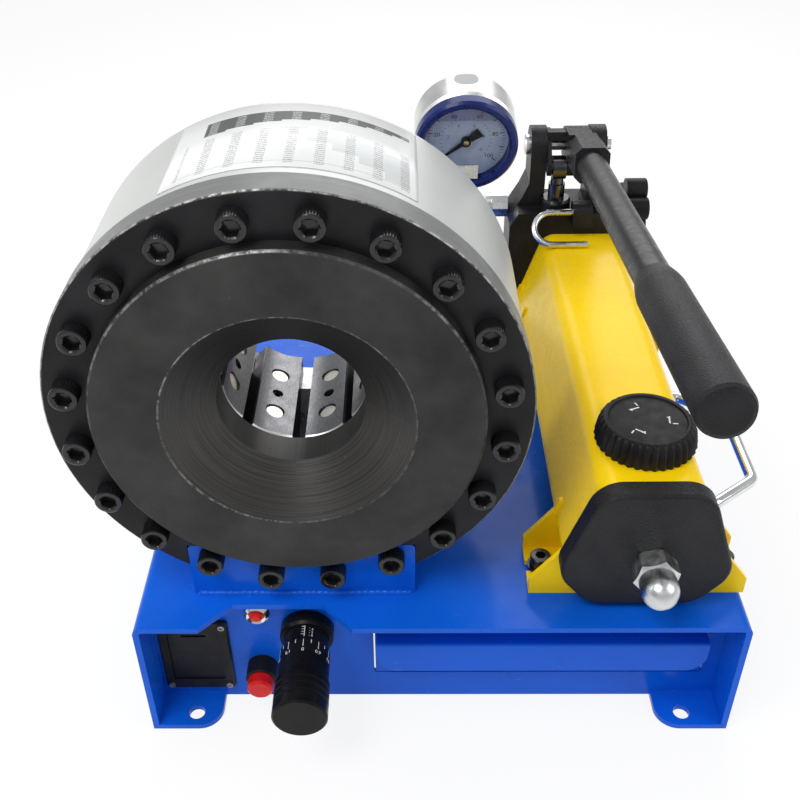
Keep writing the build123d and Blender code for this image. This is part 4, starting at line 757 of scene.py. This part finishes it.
class CRIMPER_OT_finishes(PieceOperator, bpy.types.Operator):
    """Make the materials and put them on the frame's parts"""

    bl_idname = "crimper.finishes"
    bl_label = "Paint the Frame"

    def build(self, sizes):
        make_materials()
        dress("blue", "base_chassis", "front_panel", "back_panel", "head_bracket",
              "drawer_front", "drawer_tray")
        dress("yellow", "pump_tank", "pump_foot_front", "pump_foot_back")
        dress("ring", "front_ring_flange")
        dress("disc", "front_cone_disc")
        dress("silver", "cylinder_body")
        dress("shoe", *[f"die_shoe_{i + 1}" for i in range(DIE_COUNT)])
        dress("casting", "pump_head", "lever_yoke")
        dress("cap", "front_cap")
        dress("rubber", "lever_grip", "piston_seal")
        dress("tube", "lever_tube")
        dress("oxide", "head_bolts", "foot_screws", "plunger_gland", "pressure_block")
        dress("anodised", "micrometer_collar", "micrometer_thimble")
        dress("plastic", "battery_box", "battery_tray", "button_body", "release_knob", "filler_knob")
        dress("chrome", "carry_handle_right", "carry_handle_left")
        dress("nickel", "acorn_nut")
        dress("zinc", "pivot_pin", "plunger_pin", "lever_hook", "release_stem", "pressure_pipe",
              "pump_outlet_fitting", "tie_rod", "drawer_rails")
        dress("turned", "ring_piston", "micrometer_spindle")
        # painted shade: the plunger is drawn dark for the shaded gap it stands in between the yoke and the
        # head
        dress("dark_steel", "pump_plunger")
        dress("stainless", "gauge_case")
        dress("brass", "gauge_elbow")
        dress("gauge_ring", "gauge_bezel")
        dress("dial", "gauge_dial")
        dress("glass", "gauge_lens")
        dress("ink_black", "gauge_needle")
        dress("red", "button_cap", "indicator_lens")
        dress("bezel", "indicator_bezel")


class CRIMPER_OT_head_bolts(PieceOperator, bpy.types.Operator):
    """Knurled cap screws round the head, in place of the plain ones"""

    bl_idname = "crimper.head_bolts"
    bl_label = "Head Bolts"

    def build(self, sizes):
        bm = bmesh.new()
        for i in range(BOLT_COUNT):
            angle = math.tau / BOLT_COUNT * (i + 0.5)
            x = HEAD_AXIS.x + BOLT_CIRCLE * math.sin(angle)
            z = HEAD_AXIS.z + BOLT_CIRCLE * math.cos(angle)
            turn = Matrix.Rotation(Random(i).uniform(0, math.tau), 4, "Z")
            place = facing_front(x, RING_FACE, z) @ turn
            cap_screw(bm, place, sizes.bolt_head, BOLT_HEAD_HEIGHT, sizes.bolt_ridges, BOLT_SOCKET)
        piece = smooth(new_piece("knurled_head_bolts", bm, "oxide", BODY), 30)
        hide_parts("head_bolts")


class CRIMPER_OT_die_inserts(PieceOperator, bpy.types.Operator):
    """Magnets and socket screws in the inner face of each die shoe"""

    bl_idname = "crimper.die_inserts"
    bl_label = "Die Inserts"

    def build(self, sizes):
        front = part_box("die_shoe_1")[0].y
        r, thick, edge = sizes.magnet_radius, 4.2 * MM, 0.5 * MM
        profile = [(0, thick), (r - edge, thick), (r, thick - edge), (r, 0), (0, 0)]
        inward = Matrix.Rotation(math.pi, 4, "X")
        for i in range(DIE_COUNT):
            turn = Matrix.Rotation(math.tau / DIE_COUNT * (i + 0.5), 4, "Y")
            base = Matrix.Translation(HEAD_AXIS) @ turn
            bm = bmesh.new()
            for y in DIE_MAGNETS_AT:
                magnet = bmesh.new()
                revolve(magnet, profile, 32)
                merge(bm, magnet, base @ Matrix.Translation((0, front + y, DIE_POCKET_FLOOR)) @ inward)
            magnets = new_piece(f"die_magnets_{i + 1}", bm, "magnet", f"die_{i + 1}")
            smooth(magnets)
            bm = bmesh.new()
            seat = base @ Matrix.Translation((0, front + DIE_SCREW_AT, DIE_POCKET_FLOOR + 1 * MM)) @ inward
            cap_screw(bm, seat, 3.3 * MM, 4.6 * MM, 12, 1.6 * MM)
            smooth(new_piece(f"die_screw_{i + 1}", bm, "oxide", f"die_{i + 1}"), 30)


class CRIMPER_OT_head_label(PieceOperator, bpy.types.Operator):
    """Blank data sheet wrapped over the top of the head"""

    bl_idname = "crimper.head_label"
    bl_label = "Head Label"

    def build(self, sizes):
        bm = bmesh.new()
        start, end = sizes.label_start, sizes.label_end
        lift = DRUM_RADIUS + LABEL_LIFT
        y0, y1 = RING_FACE + LABEL_GAP_FRONT, HEAD_BACK - LABEL_GAP_BACK
        first = Matrix.Translation(HEAD_AXIS) @ Matrix.Rotation(start, 4, "Y")
        line = [bm.verts.new(first @ Vector((0, y, lift))) for y in (y0, (y0 + y1) / 2, y1)]
        edges = [bm.edges.new(pair) for pair in zip(line, line[1:])]
        bmesh.ops.spin(
            bm, geom=line + edges, cent=HEAD_AXIS, axis=(0, 1, 0), dvec=(0, 0, 0),
            angle=end - start, steps=64, use_merge=False, use_duplicate=False)
        bmesh.ops.recalc_face_normals(bm, faces=bm.faces)
        sheet = new_piece("head_label", bm, "label", BODY)
        if sheet.data.polygons[0].normal.dot(Vector((0, 0, 1))) < 0:
            sheet.data.flip_normals()
        thick = sheet.modifiers.new("thickness", "SOLIDIFY")
        thick.thickness = 0.25 * MM
        thick.offset = 1.0
        smooth(sheet)


def on_gauge(x, y, z):
    """A place by the dial's centre, y along its axis; local Z looks out of the glass."""
    dial = Matrix.Translation(middle("gauge_dial")) @ Matrix.Rotation(GAUGE_LEAN, 4, "X")
    return dial @ facing_front(x, y, z)


def around(angle, radius):
    """A place at an angle and radius about Z."""
    return Matrix.Translation((radius * math.cos(angle), radius * math.sin(angle), 0))


class CRIMPER_OT_gauge_print(PieceOperator, bpy.types.Operator):
    """Ticks and plain numbers on the gauge's dial, in an outer black and an inner blue scale"""

    bl_idname = "crimper.gauge_print"
    bl_label = "Gauge Print"

    def build(self, sizes):
        place = on_gauge(0, -0.86 * MM, 0)
        black, blue = bmesh.new(), bmesh.new()
        for i in range(GAUGE_TICKS + 1):
            turn = Matrix.Rotation(GAUGE_FIRST - GAUGE_SWEEP * i / GAUGE_TICKS, 4, "Z")
            length, width = (3.2 * MM, 0.55 * MM) if i % 5 == 0 else (1.8 * MM, 0.28 * MM)
            at = turn @ Matrix.Translation((24.6 * MM - length / 2, 0, 0))
            bar(black, length, width, INK, place @ at)
            if i % 2 == 0:
                at = turn @ Matrix.Translation((15.6 * MM, 0, 0))
                bar(blue, 1.4 * MM, 0.3 * MM, INK, place @ at)
        for i in range(6):
            angle = GAUGE_FIRST - GAUGE_SWEEP * i / 5
            merge(black, text_mesh(str(i * 20), 3.9 * MM, 0.03 * MM), place @ around(angle, 18.6 * MM))
            merge(blue, text_mesh(str(i * 2), 3.2 * MM, 0.03 * MM), place @ around(angle, 11.4 * MM))
        new_piece("gauge_scale_outer", black, "ink_black", BODY)
        new_piece("gauge_scale_inner", blue, "ink_blue", BODY)


class CRIMPER_OT_gauge_fittings(PieceOperator, bpy.types.Operator):
    """Blank sticker on the gauge's glass and the cap of the needle's hub"""

    bl_idname = "crimper.gauge_fittings"
    bl_label = "Gauge Fittings"

    def build(self, sizes):
        bm = bmesh.new()
        bar(bm, 16 * MM, 10 * MM, 0.15 * MM, on_gauge(0, -7.3 * MM, -19.3 * MM))
        sheet = new_piece("gauge_sticker", bm, "sticker", BODY)
        ease(sheet, 0.05 * MM)
        bm = bmesh.new()
        dome = [(0, 0.7 * MM), (1.2 * MM, 0.6 * MM), (1.7 * MM, 0.2 * MM), (1.7 * MM, 0)]
        revolve(bm, dome, 24, on_gauge(0, -4.2 * MM, 0))
        smooth(new_piece("needle_hub_cap", bm, "brass", "needle"))


class CRIMPER_OT_filler_knob(PieceOperator, bpy.types.Operator):
    """Filler knob with a fluted rim and three arrows on its disc, in place of the plain one"""

    bl_idname = "crimper.filler_knob"
    bl_label = "Filler Knob"

    def build(self, sizes):
        low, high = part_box("filler_knob")
        r = (high.x - low.x) / 2
        tall = 16 * MM
        flutes = 36
        steps = flutes * 6
        rings = (
            (16.4 * MM, 0),
            (fluted(r - 1 * MM, flutes, 1.3 * MM), 0),
            (fluted(r - 0.2 * MM, flutes, 1.8 * MM), 1.8 * MM),
            (fluted(r - 1.8 * MM, flutes, 1.8 * MM), tall - 5 * MM),
            (fluted(r - 3.2 * MM, flutes, 1.2 * MM), tall - 2 * MM),
            (r - 5.2 * MM, tall - 0.3 * MM),
            (r - 6.5 * MM, tall),
            (r - 7.6 * MM, tall - 0.1 * MM),
            (r - 8.2 * MM, tall - 1.1 * MM),
            (r - 14 * MM, tall - 1.0 * MM),
        )
        bm = bmesh.new()
        verts = loft(bm, [ring(bm, steps, *pair) for pair in rings])
        place = Matrix.Translation(((low.x + high.x) / 2, (low.y + high.y) / 2, high.z - tall))
        bmesh.ops.transform(bm, matrix=place, verts=verts)
        knob = smooth(new_piece("fluted_filler_knob", bm, "plastic", "filler"), 40)
        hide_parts("filler_knob")
        bm = bmesh.new()
        paint = 0.05 * MM
        for degrees in (115, 235, 355):
            turn = Matrix.Rotation(math.radians(degrees), 4, "Z")
            at = place @ turn @ Matrix.Translation((12.5 * MM, 0, tall - 0.93 * MM))
            bar(bm, 0.9 * MM, 5.0 * MM, paint, at)
            bar(bm, 3.2 * MM, 0.9 * MM, paint, at @ Matrix.Translation((3.2 * MM, -2.6 * MM, 0)))
            bmesh.ops.create_cone(
                bm, segments=3, radius1=1.6 * MM, radius2=1.5 * MM, depth=paint, cap_ends=True,
                matrix=at @ Matrix.Translation((0, 3.2 * MM, 0)) @ Matrix.Rotation(math.pi / 2, 4, "Z"))
        new_piece("filler_knob_arrows", bm, "ink_white", "filler")


class CRIMPER_OT_micrometer_marks(PieceOperator, bpy.types.Operator):
    """Lines and plain numbers on the stop's sleeve and on its thimble"""

    bl_idname = "crimper.micrometer_marks"
    bl_label = "Micrometer Marks"

    def build(self, sizes):
        axis = middle("micrometer_collar")
        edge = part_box("micrometer_thimble")[1].y
        place = (axis.x, edge, axis.z)
        bm = bmesh.new()
        bar(bm, 0.4 * MM, 8.4 * MM, INK, Matrix.Translation((0, 4.4 * MM, 0)))
        for i in range(4):
            at = Matrix.Translation((1.7 * MM, (1.2 + 2 * i) * MM, 0))
            bar(bm, 3.4 * MM, 0.3 * MM, INK, at)
            bar(bm, 2.0 * MM, 0.3 * MM, INK, at @ Matrix.Translation((-2.7 * MM, 1 * MM, 0)))
        for i in range(3):
            at = Matrix.Translation((4.9 * MM, (1.3 + 2.5 * i) * MM, 0))
            merge(bm, text_mesh(str(2 * i), 2.4 * MM, INK / 2), at)
        wrap(bm, SLEEVE_RADIUS)
        bmesh.ops.translate(bm, vec=place, verts=bm.verts)
        new_piece("micrometer_sleeve_marks", bm, "ink_white", BODY)
        bm = bmesh.new()
        divisions = 20
        for i in range(divisions):
            numbered = i % 2 == 0
            length = (5.5 if numbered else 2.6) * MM
            x = -math.tau * THIMBLE_RADIUS * i / divisions
            bar(bm, 0.4 * MM, length, INK, Matrix.Translation((x, -2.8 * MM - length / 2, 0)))
            if numbered:
                words = "0" if i == 0 else f"0.{i // 2}"
                merge(bm, text_mesh(words, 3.4 * MM, INK / 2), Matrix.Translation((x, -10.8 * MM, 0)))
        wrap(bm, THIMBLE_RADIUS)
        bmesh.ops.translate(bm, vec=place, verts=bm.verts)
        new_piece("micrometer_thimble_marks", bm, "ink_white", "thimble")


class CRIMPER_OT_small_screws(PieceOperator, bpy.types.Operator):
    """Screws of the battery box's frame"""

    bl_idname = "crimper.small_screws"
    bl_label = "Battery Box Screws"

    def build(self, sizes):
        low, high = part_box("battery_box")
        bm = bmesh.new()
        inset = 3.6 * MM
        for x in (low.x + inset, high.x - inset):
            for z in (low.z + inset, high.z - inset):
                cap_screw(bm, facing_front(x, low.y, z), 2.3 * MM, 1.3 * MM, 12, 1.1 * MM)
        smooth(new_piece("battery_box_screws", bm, "zinc_dull", BODY), 30)


class CRIMPER_OT_weld_bead(PieceOperator, bpy.types.Operator):
    """Painted weld bead where the head's bracket stands on the base"""

    bl_idname = "crimper.weld_bead"
    bl_label = "Weld Bead"

    def build(self, sizes):
        low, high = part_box("head_bracket")
        start, end = low.x + 2 * MM, high.x - 2 * MM
        dice = Random(7)
        bm = bmesh.new()
        ripples = 110
        rings = []
        for i in range(ripples + 1):
            share = i / ripples
            ripple = 0.25 * math.sin(i * 1.9) + dice.uniform(-0.15, 0.15)
            size = (2.3 + ripple) * MM * (1 if 0 < i < ripples else 0.4)
            rings.append(ring(bm, 12, size, start * (1 - share) + end * share))
        verts = loft(bm, rings)
        upright = Matrix.Translation((0, RING_FACE, low.z)) @ Matrix.Rotation(math.pi / 2, 4, "Y")
        bmesh.ops.transform(bm, matrix=upright, verts=verts)
        smooth(new_piece("bracket_weld_bead", bm, "blue", BODY), 60)


class CRIMPER_OT_stage(PieceOperator, bpy.types.Operator):
    """Floor, world, lamps and camera"""

    bl_idname = "crimper.stage"
    bl_label = "Stage"

    def build(self, sizes):
        make_floor()
        make_world()
        make_lamps()
        make_camera()


def make_floor():
    """A pale floor that looks white to the camera and in reflections."""
    bm = bmesh.new()
    bmesh.ops.create_grid(bm, x_segments=1, y_segments=1, size=6.0)
    mesh = bpy.data.meshes.new("floor")
    bm.to_mesh(mesh)
    bm.free()
    floor = bpy.data.objects.new("floor", mesh)
    bpy.context.scene.collection.objects.link(floor)
    f = Finish("studio_floor")
    f.tree.nodes.remove(f.shader)
    paper = f.add("ShaderNodeBsdfDiffuse")
    f.link(f.mix(f.noise(4, 2), (0.90, 0.90, 0.90), (0.94, 0.94, 0.94)), paper.inputs["Color"])
    glow = f.add("ShaderNodeEmission")
    glow.inputs["Color"].default_value = (1, 1, 1, 1)
    glow.inputs["Strength"].default_value = 1.0
    path = f.add("ShaderNodeLightPath")
    seen = f.math("MAXIMUM", path.outputs["Is Camera Ray"],
                  f.math("MAXIMUM", path.outputs["Is Glossy Ray"], path.outputs["Is Transmission Ray"]))
    both = f.add("ShaderNodeMixShader")
    f.link(f.math("MULTIPLY", seen, 0.84), both.inputs[0])
    f.link(paper.outputs[0], both.inputs[1])
    f.link(glow.outputs[0], both.inputs[2])
    f.link(both.outputs[0], f.output.inputs["Surface"])
    mesh.materials.append(f.material)


def make_world():
    """Even soft light; white where the camera sees past the floor."""
    world = bpy.data.worlds.new("studio_world")
    bpy.context.scene.world = world
    world.use_nodes = True
    tree = world.node_tree
    tree.nodes.clear()
    out = tree.nodes.new("ShaderNodeOutputWorld")
    seen = tree.nodes.new("ShaderNodeBackground")
    seen.inputs["Color"].default_value = (1, 1, 1, 1)
    seen.inputs["Strength"].default_value = 1.0
    light = tree.nodes.new("ShaderNodeBackground")
    light.inputs["Color"].default_value = (0.96, 0.98, 1.0, 1)
    light.inputs["Strength"].default_value = 0.50
    path = tree.nodes.new("ShaderNodeLightPath")
    both = tree.nodes.new("ShaderNodeMixShader")
    tree.links.new(path.outputs["Is Camera Ray"], both.inputs[0])
    tree.links.new(light.outputs[0], both.inputs[1])
    tree.links.new(seen.outputs[0], both.inputs[2])
    tree.links.new(both.outputs[0], out.inputs["Surface"])


def make_lamps():
    """Four soft boxes aimed at the machine."""
    aim = Vector((0, -0.05, 0.15))
    lamps = (
        ("key_softbox", (-0.55, -0.75, 1.45), 0.7, 13.0),
        ("fill_softbox", (1.15, -0.55, 0.95), 0.9, 6.0),
        ("back_softbox", (0.15, 1.15, 1.05), 1.1, 9.0),
        ("left_softbox", (-1.35, 0.10, 0.75), 0.8, 6.0),
    )
    for name, place, size, power in lamps:
        lamp = bpy.data.lights.new(name, "AREA")
        lamp.size = size
        lamp.energy = power
        holder = bpy.data.objects.new(name, lamp)
        bpy.context.scene.collection.objects.link(holder)
        holder.location = place
        holder.rotation_euler = (aim - Vector(place)).to_track_quat("-Z", "Y").to_euler()


def make_camera():
    """Camera in front of the machine, looking down on it."""
    data = bpy.data.cameras.new("camera")
    data.sensor_width = 36.0
    data.lens = 46.829
    data.shift_x = 0.0245
    data.shift_y = -0.0107
    data.clip_start = 0.01
    camera = bpy.data.objects.new("camera", data)
    bpy.context.scene.collection.objects.link(camera)
    right = Vector((0.99973444, 0.01330636, -0.01881457))
    up = Vector((0.00727472, 0.59246459, 0.80556365))
    back = Vector((0.02186609, -0.80548659, 0.59221045))
    camera.matrix_world = Matrix.Translation((-0.0215222, -0.6109592, 0.5853248)) @ Matrix(
        (right, up, back)).transposed().to_4x4()
    bpy.context.scene.camera = camera
    bpy.context.scene.view_settings.view_transform = "Standard"


class CRIMPER_PT_panel(bpy.types.Panel):
    """Lists the steps that dress the machine"""

    bl_label = "Hose Crimper"
    bl_idname = "CRIMPER_PT_panel"
    bl_space_type = "VIEW_3D"
    bl_region_type = "UI"
    bl_category = "Crimper"

    def draw(self, context):
        for settings in (context.scene.crimper_colours, context.scene.crimper_sizes):
            for key in settings.__annotations__:
                self.layout.prop(settings, key)
        for operator in STEPS:
            self.layout.operator(operator.bl_idname)


STEPS = (
    CRIMPER_OT_finishes,
    CRIMPER_OT_head_bolts,
    CRIMPER_OT_die_inserts,
    CRIMPER_OT_head_label,
    CRIMPER_OT_gauge_print,
    CRIMPER_OT_gauge_fittings,
    CRIMPER_OT_filler_knob,
    CRIMPER_OT_micrometer_marks,
    CRIMPER_OT_small_screws,
    CRIMPER_OT_weld_bead,
    CRIMPER_OT_stage,
)
CLASSES = (CrimperColours, CrimperSizes, *STEPS, CRIMPER_PT_panel)


def register():
    for item in CLASSES:
        bpy.utils.register_class(item)
    bpy.types.Scene.crimper_colours = PointerProperty(type=CrimperColours)
    bpy.types.Scene.crimper_sizes = PointerProperty(type=CrimperSizes)


def unregister():
    del bpy.types.Scene.crimper_sizes
    del bpy.types.Scene.crimper_colours
    for item in reversed(CLASSES):
        bpy.utils.unregister_class(item)


def main():
    register()
    for step in STEPS:
        group, name = step.bl_idname.split(".")
        getattr(getattr(bpy.ops, group), name)()


if __name__ == "__main__":
    main()
